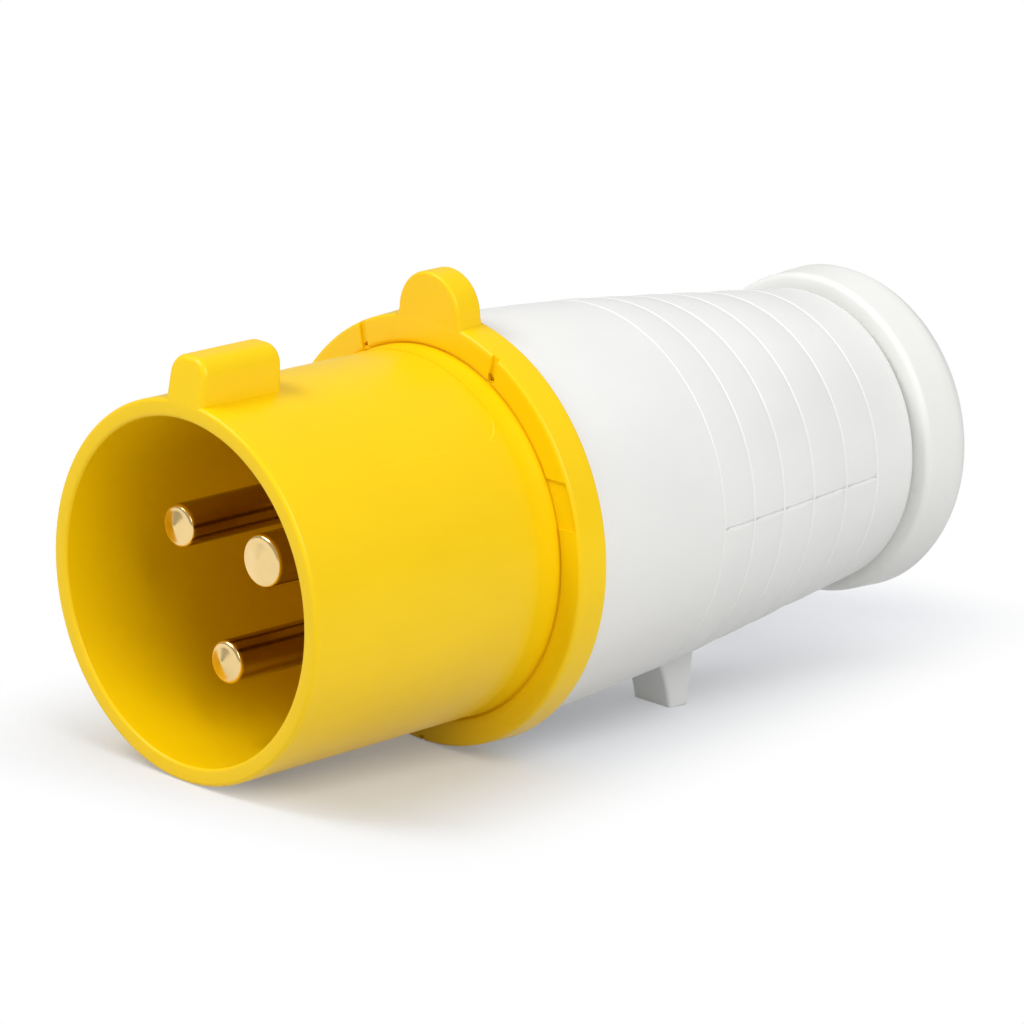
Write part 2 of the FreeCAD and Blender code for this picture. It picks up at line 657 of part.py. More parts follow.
RINGS = "abcdef"
wall_line = [("flange_thick + joint_gap", "housing_front_r", "front_crown", -1)]
for place, ring in enumerate(RINGS):
    middle = "ring_%s_x" % ring
    top = "ring_%s_r" % ring
    wall_line.append((middle + " - ring_half", top))
    wall_line.append((middle, top + " - ring_deep"))
    if ring == RINGS[-1]:
        wall_line.append((middle + " + ring_half", top))
    else:
        wall_line.append((middle + " + ring_half", top, "ring_crown", -1))
housing_line = new_sketch(housing, "housing_line", "XZ_Plane")
outline(housing_line, wall_line + [
    ("neck_x - neck_round", "neck_r", "neck_round", -1),
    ("neck_x", "neck_r - neck_round"),
    ("neck_x", "spigot_r"),
    ("spigot_end - spigot_edge", "spigot_r"),
    ("spigot_end", "spigot_r - spigot_edge"),
    ("spigot_end", "gland_bore_r"),
    ("seat_x + seat_thick", "gland_bore_r"),
    ("seat_x + seat_thick", "seat_r"),
    ("seat_x", "seat_r"),
    ("seat_x", "ring_f_r - housing_wall"),
    ("ring_c_x", "ring_c_r - housing_wall"),
    ("ring_a_x", "ring_a_r - housing_wall"),
    ("socket_end", "stop_r"),
    ("socket_end", "skirt_r + skirt_gap"),
    ("bead_x + bead_width + skirt_gap", "skirt_r + skirt_gap"),
    ("bead_x + bead_width / 2", "skirt_r + skirt_gap + bead_rise"),
    ("bead_x - skirt_gap", "skirt_r + skirt_gap"),
    ("flange_thick + seal_thick", "skirt_r + skirt_gap"),
    ("flange_thick + seal_thick", "seal_r + seal_width + seal_gap"),
    ("flange_thick + joint_gap", "seal_r + seal_width + seal_gap"),
])
revolve(housing, housing_line, "housing_turn")

seam = new_sketch(housing, "seam_line", "XY_Plane")
seam_floor = [("ring_%s_x" % ring, "ring_%s_r - seam_depth" % ring) for ring in RINGS]
outline(seam, seam_floor + [
    ("ring_f_x", "ring_f_r + seam_width"),
    ("ring_a_x", "ring_a_r + seam_width"),
])
seam_cut = extrude(housing, seam, "seam", "seam_width", cut=True, both=True)
mirror(housing, seam_cut, "seam_pair")


def soft_ring(label, front_x, rear_x, inside, outside, edge):
    """A ring of rubber with rounded edges between two faces and two radii."""
    body = new_body(label)
    sketch = new_sketch(body, label + "_section", "XZ_Plane")
    outline(sketch, [
        (front_x, inside + " + " + edge),
        (front_x, outside + " - " + edge, edge, -1),
        (front_x + " + " + edge, outside),
        (rear_x + " - " + edge, outside, edge, -1),
        (rear_x, outside + " - " + edge),
        (rear_x, inside + " + " + edge, edge, -1),
        (rear_x + " - " + edge, inside),
        (front_x + " + " + edge, inside, edge, -1),
    ])
    revolve(body, sketch, label + "_turn")
    return body


soft_ring("housing_seal", "flange_thick", "flange_thick + seal_thick", "seal_r",
          "seal_r + seal_width", "seal_edge")

# the carrier: a disc with a core and three open terminal chambers behind it
carrier = new_body("contact_carrier")
disc = new_sketch(carrier, "disc_face", "YZ_Plane", along="carrier_front")
circle(disc, "0", "0", "carrier_r")
extrude(carrier, disc, "disc", "carrier_rear - carrier_front")
core = new_sketch(carrier, "core_face", "YZ_Plane", along="carrier_rear")
circle(core, "0", "0", "core_r")
extrude(carrier, core, "core", "tower_end - carrier_rear")
tower = new_sketch(carrier, "tower_face", "YZ_Plane", along="carrier_rear", turn="half_turn")
circle(tower, "0", "pin_ring_r", "tower_r")
tower_pad = extrude(carrier, tower, "tower", "tower_end - carrier_rear")
ring_of(carrier, tower, tower_pad, "tower_ring", 3)

chamber = new_sketch(carrier, "chamber_face", "YZ_Plane", along="tower_end", turn="half_turn")
circle(chamber, "0", "pin_ring_r", "barrel_r + chamber_gap")
chamber_cut = extrude(carrier, chamber, "chamber", "tower_end - carrier_rear", cut=True)
ring_of(carrier, chamber, chamber_cut, "chamber_ring", 3)

way = new_sketch(carrier, "way_face", "YZ_Plane", along="carrier_rear", turn="half_turn")
circle(way, "0", "pin_ring_r", "barrel_r + shank_gap")
way_cut = extrude(carrier, way, "way", "carrier_rear - carrier_front", cut=True)
ring_of(carrier, way, way_cut, "way_ring", 3)

recess = new_sketch(
    carrier, "recess_face", "YZ_Plane", along="carrier_front", turn="half_turn")
circle(recess, "0", "pin_ring_r", "collar_r + shank_gap")
recess_cut = extrude(carrier, recess, "recess", "collar_thick", cut=True, reverse=True)
ring_of(carrier, recess, recess_cut, "recess_ring", 3)

window = new_sketch(carrier, "window_face", "YZ_Plane", along="tower_end", turn="half_turn")
rectangle(window, "-window_width / 2", "pin_ring_r", "window_width / 2",
          "pin_ring_r + tower_r + 1")
window_cut = extrude(carrier, window, "window", "tower_end - window_front", cut=True)
ring_of(carrier, window, window_cut, "window_ring", 3)

socket = new_sketch(carrier, "boss_socket_face", "YZ_Plane", along="carrier_front")
circle(socket, "0", "boss_ring_r", "boss_r + boss_gap")
socket_cut = extrude(carrier, socket, "boss_socket",
                     "base_rear + boss_len + boss_gap - carrier_front", cut=True, reverse=True)
ring_of(carrier, socket, socket_cut, "boss_socket_ring", 3)

passing = new_sketch(carrier, "passing_face", "YZ_Plane", along="carrier_rear")
circle(passing, "0", "boss_ring_r", "fixing_r + fixing_pass")
passing_cut = extrude(carrier, passing, "passing", "carrier_rear - carrier_front", cut=True)
ring_of(carrier, passing, passing_cut, "passing_ring", 3)

seat = new_sketch(carrier, "head_seat_face", "YZ_Plane", along="carrier_rear")
circle(seat, "0", "boss_ring_r", "fixing_head_r + fixing_pass")
seat_cut = extrude(carrier, seat, "head_seat", "fixing_seat", cut=True)
ring_of(carrier, seat, seat_cut, "head_seat_ring", 3)


def contact_pin(name, radius, tip, turn):
    """A turned pin with its root, collar and terminal barrel, drawn under the key."""
    body = new_body(name + "_pin")
    profile = new_sketch(body, name + "_profile", "XZ_Plane", up="pin_ring_r")
    outline(profile, [
        ("-" + tip, "0"),
        ("-" + tip + " + tip_rise", radius + " - tip_round", "tip_round", -1),
        ("-" + tip + " + tip_rise + tip_round", radius),
        ("-base_front", radius),
        ("-base_front", radius + " + root_rise"),
        ("collar_x", radius + " + root_rise"),
        ("collar_x", "collar_r - turned_edge"),
        ("collar_x + turned_edge", "collar_r"),
        ("collar_x + collar_thick", "collar_r"),
        ("collar_x + collar_thick", "shank_r"),
        ("barrel_x", "shank_r"),
        ("barrel_x", "barrel_r - turned_edge"),
        ("barrel_x + turned_edge", "barrel_r"),
        ("barrel_end - turned_edge", "barrel_r"),
        ("barrel_end", "barrel_r - turned_edge"),
        ("barrel_end", "0"),
    ])
    revolve(body, profile, name + "_turn")
    flat = new_sketch(body, name + "_flat", "YZ_Plane", along="barrel_end", up="pin_ring_r")
    rectangle(flat, "-barrel_r", "barrel_flat", "barrel_r", "barrel_r + 1")
    extrude(body, flat, name + "_flat_cut", "barrel_end - window_front", cut=True)
    bore = new_sketch(body, name + "_bore", "YZ_Plane", along="barrel_end", up="pin_ring_r")
    circle(bore, "0", "0", "wire_bore_r")
    extrude(body, bore, name + "_bore_cut", "wire_bore_len", cut=True)
    tap = new_sketch(body, name + "_tap", "XY_Plane", along="pin_ring_r + barrel_r")
    circle(tap, "screw_x", "0", "screw_r + screw_gap")
    extrude(body, tap, name + "_tap_cut", "barrel_r", cut=True)
    turned(body, turn)


def terminal_screw(name, turn):
    """A slotted screw that stands outwards on the wire guard in its barrel."""
    body = new_body(name + "_terminal_screw")
    profile = new_sketch(
        body, name + "_screw_profile", "XZ_Plane", up="pin_ring_r", right="screw_x")
    tip = "guard_low + guard_thick"
    top = "screw_seat + screw_head_thick"
    outline(profile, [
        ("0", tip),
        ("screw_r - turned_edge", tip),
        ("screw_r", tip + " + turned_edge"),
        ("screw_r", "screw_seat"),
        ("screw_head_r", "screw_seat"),
        ("screw_head_r", top + " - turned_edge"),
        ("screw_head_r - turned_edge", top),
        ("0", top),
    ])
    revolve(body, profile, name + "_screw_turn", axis="V_Axis")
    slot = new_sketch(body, name + "_slot", "XY_Plane", along="pin_ring_r + " + top)
    rectangle(slot, "screw_x - screw_head_r - 1", "-screw_slot / 2",
              "screw_x + screw_head_r + 1", "screw_slot / 2")
    extrude(body, slot, name + "_slot_cut", "screw_slot_depth", cut=True)
    turned(body, turn)


def wire_guard(name, turn):
    """A bent strip between the screw's tip and the wire, hooked behind the barrel."""
    body = new_body(name + "_wire_guard")
    side = new_sketch(body, name + "_guard_side", "XZ_Plane", up="pin_ring_r")
    start = "barrel_end - wire_bore_len + guard_front"
    outline(side, [
        (start, "guard_low"),
        ("barrel_end + guard_gap + guard_thick", "guard_low"),
        ("barrel_end + guard_gap + guard_thick", "guard_lip"),
        ("barrel_end + guard_gap", "guard_lip"),
        ("barrel_end + guard_gap", "guard_low + guard_thick"),
        (start, "guard_low + guard_thick"),
    ])
    extrude(body, side, name + "_guard", "guard_width", both=True)
    turned(body, turn)


for pin, radius, tip, turn in PINS:
    contact_pin(pin, radius, tip, turn)
    terminal_screw(pin, turn)
    wire_guard(pin, turn)


def carrier_screw(name, turn):
    """A slotted screw through the disc into a boss on the base."""
    body = new_body(name + "_carrier_screw")
    head = "carrier_rear - fixing_seat"
    end = "base_rear - fixing_reach"
    profile = new_sketch(body, name + "_fixing_profile", "XZ_Plane", up="boss_ring_r")
    outline(profile, [
        (end, "0"),
        (end, "fixing_r - turned_edge"),
        (end + " + turned_edge", "fixing_r"),
        (head, "fixing_r"),
        (head, "fixing_head_r"),
        (head + " + fixing_head_thick - turned_edge", "fixing_head_r"),
        (head + " + fixing_head_thick", "fixing_head_r - turned_edge"),
        (head + " + fixing_head_thick", "0"),
    ])
    revolve(body, profile, name + "_fixing_turn")
    slot = new_sketch(body, name + "_fixing_slot", "YZ_Plane",
                      along=head + " + fixing_head_thick", up="boss_ring_r")
    rectangle(slot, "-fixing_head_r - 1", "-screw_slot / 2", "fixing_head_r + 1",
              "screw_slot / 2")
    extrude(body, slot, name + "_fixing_slot_cut", "screw_slot_depth", cut=True)
    turned(body, turn)


carrier_screw("top", "0")
carrier_screw("right", "third_turn")
carrier_screw("left", "third_turn * 2")

# the cord gland, from the seal's seat in the housing to the wall of the nut
SEAL_SEAT = "seat_x + seat_thick"
CAGE_FRONT = SEAL_SEAT + " + grommet_len"
CAGE_REAR = CAGE_FRONT + " + cage_len"
NUT_SEAT = CAGE_REAR + " + washer_thick"
NUT_END = NUT_SEAT + " + nut_wall"
soft_ring("outer_cord_seal", SEAL_SEAT, CAGE_FRONT, "grommet_split_r",
          "gland_bore_r - grommet_gap", "seal_edge")
soft_ring("inner_cord_seal", SEAL_SEAT, CAGE_FRONT, "cord_r",
          "grommet_split_r - grommet_gap", "seal_edge")

cage = new_body("clamp_cage")
cage_line = new_sketch(cage, "cage_line", "XZ_Plane")
outline(cage_line, [
    (CAGE_FRONT, "cage_ring_r"),
    (CAGE_FRONT, "cage_r"),
    (CAGE_REAR + " - finger_taper", "cage_r"),
    (CAGE_REAR, "cage_r - finger_taper"),
    (CAGE_REAR, "finger_tooth_r"),
    (CAGE_REAR + " - finger_taper", "finger_tooth_r"),
    (CAGE_REAR + " - finger_taper * 2", "finger_r"),
    (CAGE_FRONT + " + cage_ring_thick", "finger_r"),
    (CAGE_FRONT + " + cage_ring_thick", "cage_ring_r"),
])
revolve(cage, cage_line, "cage_turn")
gap_face = new_sketch(cage, "finger_gap_face", "YZ_Plane", along=CAGE_REAR)
rectangle(gap_face, "-finger_slot / 2", "finger_tooth_r - 1", "finger_slot / 2", "cage_r + 1")
gap_cut = extrude(cage, gap_face, "finger_gap", "cage_len - cage_ring_thick", cut=True)
ring_of(cage, gap_face, gap_cut, "finger_gap_ring", "finger_count")

washer = new_body("slip_washer")
washer_face = new_sketch(washer, "washer_face", "YZ_Plane", along=CAGE_REAR)
circle(washer_face, "0", "0", "washer_r")
circle(washer_face, "0", "0", "washer_bore_r")
extrude(washer, washer_face, "washer", "washer_thick")

nut = new_body("gland_nut")
nut_line = new_sketch(nut, "nut_line", "XZ_Plane")
outline(nut_line, [
    ("nut_front", "spigot_r + nut_thread_gap + nut_lead"),
    ("nut_front", "nut_front_r - nut_front_round", "nut_front_round", -1),
    ("nut_front + nut_front_round", "nut_front_r"),
    ("nut_side_end", "nut_rear_r", "nut_dome", -1),
    (NUT_END, "nut_land_r"),
    (NUT_END, "nut_bore_r + nut_bore_round", "nut_bore_round", -1),
    (NUT_END + " - nut_bore_round", "nut_bore_r"),
    (NUT_SEAT, "nut_bore_r"),
    (NUT_SEAT, "spigot_r + nut_thread_gap"),
    ("nut_front + nut_lead", "spigot_r + nut_thread_gap"),
])
revolve(nut, nut_line, "nut_turn")

doc.recompute()
for item in doc.Objects:
    if "Invalid" in item.State or "Error" in item.State:
        raise ValueError(item.Label + " failed to recompute")

os.makedirs("parts", exist_ok=True)
for body in doc.findObjects("PartDesign::Body"):
    if body.Shape.isNull() or not body.Shape.isValid():
        raise ValueError(body.Label + " has no sound shape")
    if len(body.Shape.Solids) != 1:
        raise ValueError("%s has %d solids" % (body.Label, len(body.Shape.Solids)))
    body.Shape.exportStep("parts/" + body.Label + ".step")
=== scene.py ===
"""A three-pin pin and sleeve plug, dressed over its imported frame.

The yellow moulding, the brass pins, the white housing and the gland nut are modelled here
at the frame's places. The pieces inside keep their solids and get their finishes here.
X runs along the axis from the mouth to the gland, and Z points at the key. The classes
hold their sizes in millimetres.
"""
import json
import logging
import math
from collections.abc import Callable
from dataclasses import dataclass, field, replace
from enum import Enum

import bmesh
import bpy
from mathutils import Matrix, Vector


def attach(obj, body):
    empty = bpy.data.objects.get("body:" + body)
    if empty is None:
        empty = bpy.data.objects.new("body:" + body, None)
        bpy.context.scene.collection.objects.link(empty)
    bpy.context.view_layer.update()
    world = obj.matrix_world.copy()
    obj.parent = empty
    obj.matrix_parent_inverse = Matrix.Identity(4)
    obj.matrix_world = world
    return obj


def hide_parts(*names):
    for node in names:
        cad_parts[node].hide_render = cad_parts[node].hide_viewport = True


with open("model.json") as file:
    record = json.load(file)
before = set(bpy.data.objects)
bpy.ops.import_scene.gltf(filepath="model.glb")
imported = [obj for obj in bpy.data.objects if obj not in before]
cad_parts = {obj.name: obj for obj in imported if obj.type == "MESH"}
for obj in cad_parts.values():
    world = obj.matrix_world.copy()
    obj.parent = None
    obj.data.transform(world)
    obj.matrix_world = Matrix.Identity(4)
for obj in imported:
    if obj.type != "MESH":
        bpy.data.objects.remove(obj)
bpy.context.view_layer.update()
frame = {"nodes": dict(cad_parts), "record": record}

LOG = logging.getLogger("plug")
BODY = "root"

# metres in a millimetre
MM = 0.001
# places this close, in millimetres, are one place
HAIR = 0.01
# the radius of a profile where it meets the axis
MIDDLE = 0.01
# how far a cutter reaches past the surface that it cuts
CLEAR = 1.0
# flat faces round a moulding, a pin and a tapped hole
MOULDING_SIDES = 256
PIN_SIDES = 128
HOLE_SIDES = 48

Colour = tuple[float, float, float]
Place = tuple[float, float, float]
Axis = tuple[float, float]
Piece = bpy.types.Object
Socket = bpy.types.NodeSocket


class Bend(Enum):
    """The way an arc bends as its profile is followed."""

    LEFT = 1
    RIGHT = -1


class Combining(Enum):
    """What is done with a second solid."""

    JOIN = "UNION"
    TAKE = "DIFFERENCE"
    KEEP = "INTERSECT"


def linear(red: int, green: int, blue: int) -> Colour:
    """Turns a screen colour into the renderer's own linear one.

    Args:
        red: Red, 0 to 255.
        green: Green, 0 to 255.
        blue: Blue, 0 to 255.

    Returns:
        The three linear shares.
    """
    shares = []
    for part in (red, green, blue):
        value = part / 255.0
        shares.append(value / 12.92 if value <= 0.04045 else ((value + 0.055) / 1.055) ** 2.4)
    return shares[0], shares[1], shares[2]


# how the pieces are drawn


@dataclass
class Profile:
    """A line of (x, r) points in millimetres, which a ring is drawn along."""

    points: list[tuple[float, float]] = field(default_factory=list)

    def to(self, x: float, r: float, steps: int = 1) -> "Profile":
        """Adds a straight run.

        Args:
            x: Place along the axis at its end.
            r: Radius at its end.
            steps: Rings that it is divided into.

        Returns:
            The same profile.
        """
        if not self.points:
            self.points.append((x, r))
            return self
        from_x, from_r = self.points[-1]
        for step in range(1, steps + 1):
            share = step / steps
            self.points.append((from_x + (x - from_x) * share, from_r + (r - from_r) * share))
        return self

    def arc(self, x: float, r: float, radius: float, bend: Bend, steps: int = 6) -> "Profile":
        """Adds an arc.

        Args:
            x: Place along the axis at its end.
            r: Radius of the piece at its end.
            radius: The arc's own radius.
            bend: The way it bends.
            steps: Rings that it is divided into.

        Returns:
            The same profile.
        """
        start = Vector(self.points[-1])
        end = Vector((x, r))
        chord = end - start
        side = Vector((-chord.y, chord.x)).normalized() * bend.value
        centre = (start + end) / 2 + side * math.sqrt(max(radius**2 - chord.length**2 / 4, 0.0))
        first = start - centre
        sweep = first.angle_signed(end - centre)
        for step in range(1, steps + 1):
            angle = -sweep * step / steps
            across = first.x * math.cos(angle) - first.y * math.sin(angle)
            up = first.x * math.sin(angle) + first.y * math.cos(angle)
            self.points.append((centre.x + across, centre.y + up))
        return self


class Bench:
    """The tools that the pieces are modelled with."""

    @staticmethod
    def clear() -> None:
        """Leaves edit mode and deselects everything."""
        if bpy.context.mode != "OBJECT":
            bpy.ops.object.mode_set(mode="OBJECT")
        bpy.ops.object.select_all(action="DESELECT")

    @staticmethod
    def hold(piece: Piece) -> None:
        """Makes a piece the only one that is selected, and the active one.

        Args:
            piece: The piece.
        """
        Bench.clear()
        bpy.context.view_layer.objects.active = piece
        piece.select_set(True)

    @staticmethod
    def turn(profile: Profile, sides: int, centre: Axis = (0.0, 0.0)) -> Piece:
        """Draws a ring along a profile, by extruding and scaling it.

        Args:
            profile: The (x, r) line, in millimetres.
            sides: Vertices round the ring.
            centre: The axis's y and z, in millimetres.

        Returns:
            The new piece, closed where the profile ends where it starts or on the axis.
        """
        Bench.clear()
        y, z = centre[0] * MM, centre[1] * MM
        x, r = profile.points[0]
        bpy.ops.mesh.primitive_circle_add(
            vertices=sides,
            radius=r * MM,
            fill_type="NOTHING",
            location=(x * MM, y, z),
            rotation=(0.0, math.pi / 2, 0.0),
        )
        bpy.ops.object.mode_set(mode="EDIT")
        bpy.ops.mesh.select_all(action="SELECT")
        for next_x, next_r in profile.points[1:]:
            bpy.ops.mesh.extrude_region_move(
                TRANSFORM_OT_translate={"value": ((next_x - x) * MM, 0.0, 0.0)}
            )
            grow = next_r / r
            bpy.ops.transform.resize(value=(1.0, grow, grow), center_override=(next_x * MM, y, z))
            x, r = next_x, next_r
        bpy.ops.mesh.select_all(action="SELECT")
        bpy.ops.mesh.remove_doubles(threshold=HAIR * MM)
        bpy.ops.mesh.normals_make_consistent(inside=False)
        bpy.ops.object.mode_set(mode="OBJECT")
        piece = bpy.context.object
        bpy.ops.object.transform_apply(location=True, rotation=True, scale=True)
        return piece

    @staticmethod
    def block(low: Place, high: Place) -> Piece:
        """Adds a block between two corners, in millimetres, and enters edit mode.

        Args:
            low: The lowest corner.
            high: The highest corner.

        Returns:
            The block, with nothing selected.
        """
        Bench.clear()
        middle = [(a + b) / 2 * MM for a, b in zip(low, high)]
        size = [(b - a) * MM for a, b in zip(low, high)]
        bpy.ops.mesh.primitive_cube_add(size=1.0, location=middle)
        piece = bpy.context.object
        piece.scale = size
        bpy.ops.object.transform_apply(location=True, rotation=True, scale=True)
        bpy.ops.object.mode_set(mode="EDIT")
        bpy.ops.mesh.select_all(action="DESELECT")
        return piece

    @staticmethod
    def rod(sides: int, radius: float, length: float, middle: Place, lean: float = 0.0) -> Piece:
        """Adds a rod, in millimetres.

        Args:
            sides: Flat faces round it.
            radius: Its radius.
            length: Its length.
            middle: The place of its middle.
            lean: Its turn about Y from upright, in radians.

        Returns:
            The rod.
        """
        Bench.clear()
        bpy.ops.mesh.primitive_cylinder_add(
            vertices=sides,
            radius=radius * MM,
            depth=length * MM,
            location=[part * MM for part in middle],
            rotation=(0.0, lean, 0.0),
        )
        piece = bpy.context.object
        bpy.ops.object.transform_apply(location=True, rotation=True, scale=True)
        return piece

    @staticmethod
    def pick_edges(piece: Piece, wanted: Callable[[Vector, Vector], bool]) -> None:
        """Selects the edges that a test picks, in edit mode.

        Args:
            piece: The piece in edit mode.
            wanted: Takes an edge's two ends, in millimetres, and answers yes or no.
        """
        bpy.ops.mesh.select_mode(type="EDGE")
        mesh = bmesh.from_edit_mesh(piece.data)
        for edge in mesh.edges:
            edge.select_set(bool(wanted(edge.verts[0].co / MM, edge.verts[1].co / MM)))
        bmesh.update_edit_mesh(piece.data)

    @staticmethod
    def pick_spots(piece: Piece, wanted: Callable[[Vector], bool]) -> None:
        """Selects the vertices that a test picks, in edit mode.

        Args:
            piece: The piece in edit mode.
            wanted: Takes a vertex's place, in millimetres, and answers yes or no.
        """
        bpy.ops.mesh.select_mode(type="VERT")
        mesh = bmesh.from_edit_mesh(piece.data)
        for vertex in mesh.verts:
            vertex.select_set(False)
        mesh.select_flush(False)
        for vertex in mesh.verts:
            if wanted(vertex.co / MM):
                vertex.select_set(True)
        mesh.select_flush(True)
        bmesh.update_edit_mesh(piece.data)

    @staticmethod
    def move(x: float = 0.0, y: float = 0.0, z: float = 0.0) -> None:
        """Moves what is selected in edit mode, in millimetres."""
        bpy.ops.transform.translate(value=(x * MM, y * MM, z * MM))

    @staticmethod
    def bevel(width: float, segments: int) -> None:
        """Rounds the selected edges; the width is in millimetres."""
        bpy.ops.mesh.bevel(
            offset=width * MM, segments=segments, affect="EDGES", clamp_overlap=False
        )

    @staticmethod
    def combine(base: Piece, other: Piece, way: Combining) -> None:
        """Joins a second solid to the first, takes it away, or keeps what they share.

        Args:
            base: The piece that stays.
            other: The solid that is used up.
            way: What is done with it.
        """
        Bench.hold(base)
        modifier = base.modifiers.new("combine", "BOOLEAN")
        modifier.operation = way.value
        modifier.solver = "EXACT"
        modifier.object = other
        bpy.ops.object.modifier_apply(modifier=modifier.name)
        bpy.data.objects.remove(other, do_unlink=True)

    @staticmethod
    def finish(
        piece: Piece,
        name: str,
        node: str,
        slot: str,
        material: bpy.types.Material,
        crease: float = 28.0,
    ) -> Piece:
        """Names a piece, smooths it, dresses it and lets it stand for its node.

        Args:
            piece: The finished mesh.
            name: Its name in the scene.
            node: The frame's node that it replaces.
            slot: The record's material slot; not used.
            material: Its finish.
            crease: Degrees between two faces past which their edge stays sharp.

        Returns:
            The piece.
        """
        Bench.hold(piece)
        bpy.ops.object.transform_apply(location=True, rotation=True, scale=True)
        bpy.ops.object.shade_smooth_by_angle(angle=math.radians(crease))
        level = piece.modifiers.new("level", "WEIGHTED_NORMAL")
        level.keep_sharp = True
        bpy.ops.object.modifier_apply(modifier=level.name)
        piece.name = name
        piece.data.name = name
        piece.data.materials.clear()
        piece.data.materials.append(material)
        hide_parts(node)
        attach(piece, BODY)
        LOG.info("%s: %d faces", name, len(piece.data.polygons))
        return piece


# finishes


class Desk:
    """Lays out and links the nodes of one tree."""

    def __init__(self, tree: bpy.types.NodeTree) -> None:
        """Takes up a tree."""
        self.tree = tree

    def fill(self, entry: Socket, value: object) -> None:
        """Links a socket to a node's input, or sets the input's own value.

        Args:
            entry: The input.
            value: The socket or the value.
        """
        if isinstance(value, Socket):
            self.tree.links.new(value, entry)
        else:
            entry.default_value = value

    def node(
        self, kind: str, inputs: dict[int | str, object] | None = None, **options: object
    ) -> bpy.types.Node:
        """Adds a node, sets its options and then fills its inputs.

        Args:
            kind: Its type, without ShaderNode before it.
            inputs: A socket or a value for each input.
            options: The node's own options.

        Returns:
            The node.
        """
        node = self.tree.nodes.new("ShaderNode" + kind)
        for name, value in options.items():
            setattr(node, name, value)
        for name, value in (inputs or {}).items():
            self.fill(node.inputs[name], value)
        return node

    def sum_of(self, operation: str, a: object, b: object) -> Socket:
        """One sum with two values, each a socket or a number."""
        return self.node("Math", {0: a, 1: b}, operation=operation).outputs["Value"]

    def blend(self, share: Socket, first: object, second: object) -> Socket:
        """A colour between two, each a socket or a colour."""
        inputs = {"Factor": share, "A": first, "B": second}
        return self.node("Mix", inputs, data_type="RGBA").outputs["Result"]


class Surface(Desk):
    """Lays out the nodes of one piece's material, on the piece's own coordinates."""

    def __init__(self, name: str) -> None:
        """Starts a material with its shader.

        Args:
            name: The material's name.
        """
        self.material = bpy.data.materials.new(name)
        self.material.use_nodes = True
        super().__init__(self.material.node_tree)
        self.shader = self.tree.nodes["Principled BSDF"]
        self.place = self.node("TexCoord").outputs["Object"]

    def put(self, socket: str, value: object) -> None:
        """Fills one of the shader's own sockets."""
        self.fill(self.shader.inputs[socket], value)

    def noise(self, scale: float, detail: float = 2.0, stretch: Place = (1.0, 1.0, 1.0)) -> Socket:
        """A cloudy pattern.

        Args:
            scale: Clouds per metre.
            detail: Finer layers in it.
            stretch: Scale along each axis.

        Returns:
            Its value.
        """
        mapping = self.node("Mapping", {"Scale": stretch, "Vector": self.place})
        inputs = {"Scale": scale, "Detail": detail, "Vector": mapping.outputs["Vector"]}
        return self.node("TexNoise", inputs).outputs["Fac"]

    def rings(self, scale: float, waver: float = 1.0, detail: float = 2.0) -> Socket:
        """Rings along the X axis, as a lathe leaves them.

        Args:
            scale: Rings per metre, over six.
            waver: How much they waver.
            detail: Finer layers in the wavering.

        Returns:
            Their value.
        """
        inputs = {"Scale": scale, "Distortion": waver, "Detail": detail, "Vector": self.place}
        pattern = self.node("TexWave", inputs, wave_type="BANDS", bands_direction="X")
        return pattern.outputs["Fac"]

    def round_about(self, axis: Axis) -> Socket:
        """The direction in which a lathe's tool ran round an axis along X.

        Args:
            axis: The axis's y and z, in millimetres.

        Returns:
            That direction at each place.
        """
        way = self.place
        for operation, other in (
            ("SUBTRACT", (0.0, axis[0] * MM, axis[1] * MM)),
            ("CROSS_PRODUCT", (1.0, 0.0, 0.0)),
        ):
            way = self.node("VectorMath", {0: way, 1: other}, operation=operation).outputs["Vector"]
        return self.node("VectorMath", {0: way}, operation="NORMALIZE").outputs["Vector"]

    def ranged(self, value: Socket, low: float, high: float) -> Socket:
        """Spreads the middle of a pattern, which is most of it, between two values.

        Args:
            value: The pattern.
            low: What its dark parts become.
            high: What its light parts become.

        Returns:
            The new value.
        """
        inputs = {"Value": value, "From Min": 0.3, "From Max": 0.7, "To Min": low, "To Max": high}
        return self.node("MapRange", inputs).outputs["Result"]

    def shades(self, value: Socket, colour: Colour, dark: float, light: float) -> Socket:
        """A colour that varies a little over the piece.

        Args:
            value: The pattern that it varies with.
            colour: The colour itself.
            dark: Its share in the pattern's dark parts.
            light: Its share in the pattern's light parts.

        Returns:
            The varied colour.
        """
        darker, lighter = ([min(part * share, 1.0) for part in colour] for share in (dark, light))
        return self.blend(self.ranged(value, 0.0, 1.0), (*darker, 1.0), (*lighter, 1.0))

    def beyond(self, x: float, before: Socket, after: Socket, blur: float = 0.25) -> Socket:
        """One colour in front of a place on the X axis and another behind it.

        Args:
            x: The place, in millimetres.
            before: The colour in front of it.
            after: The colour behind it.
            blur: How far on each side they blend, in millimetres.

        Returns:
            The colour.
        """
        along = self.node("SeparateXYZ", {"Vector": self.place}).outputs["X"]
        inputs = {"Value": along, "From Min": (x - blur) * MM, "From Max": (x + blur) * MM}
        return self.blend(self.node("MapRange", inputs).outputs["Result"], before, after)

    def bump(
        self, height: Socket, strength: float, depth: float, under: Socket | None = None
    ) -> Socket:
        """Roughens the surface.

        Args:
            height: The pattern.
            strength: Its strength, 0 to 1.
            depth: Its depth in millimetres.
            under: A bump that this one lies on.

        Returns:
            The surface's new normal.
        """
        inputs = {"Strength": strength, "Distance": depth * MM, "Height": height}
        if under is not None:
            inputs["Normal"] = under
        return self.node("Bump", inputs).outputs["Normal"]


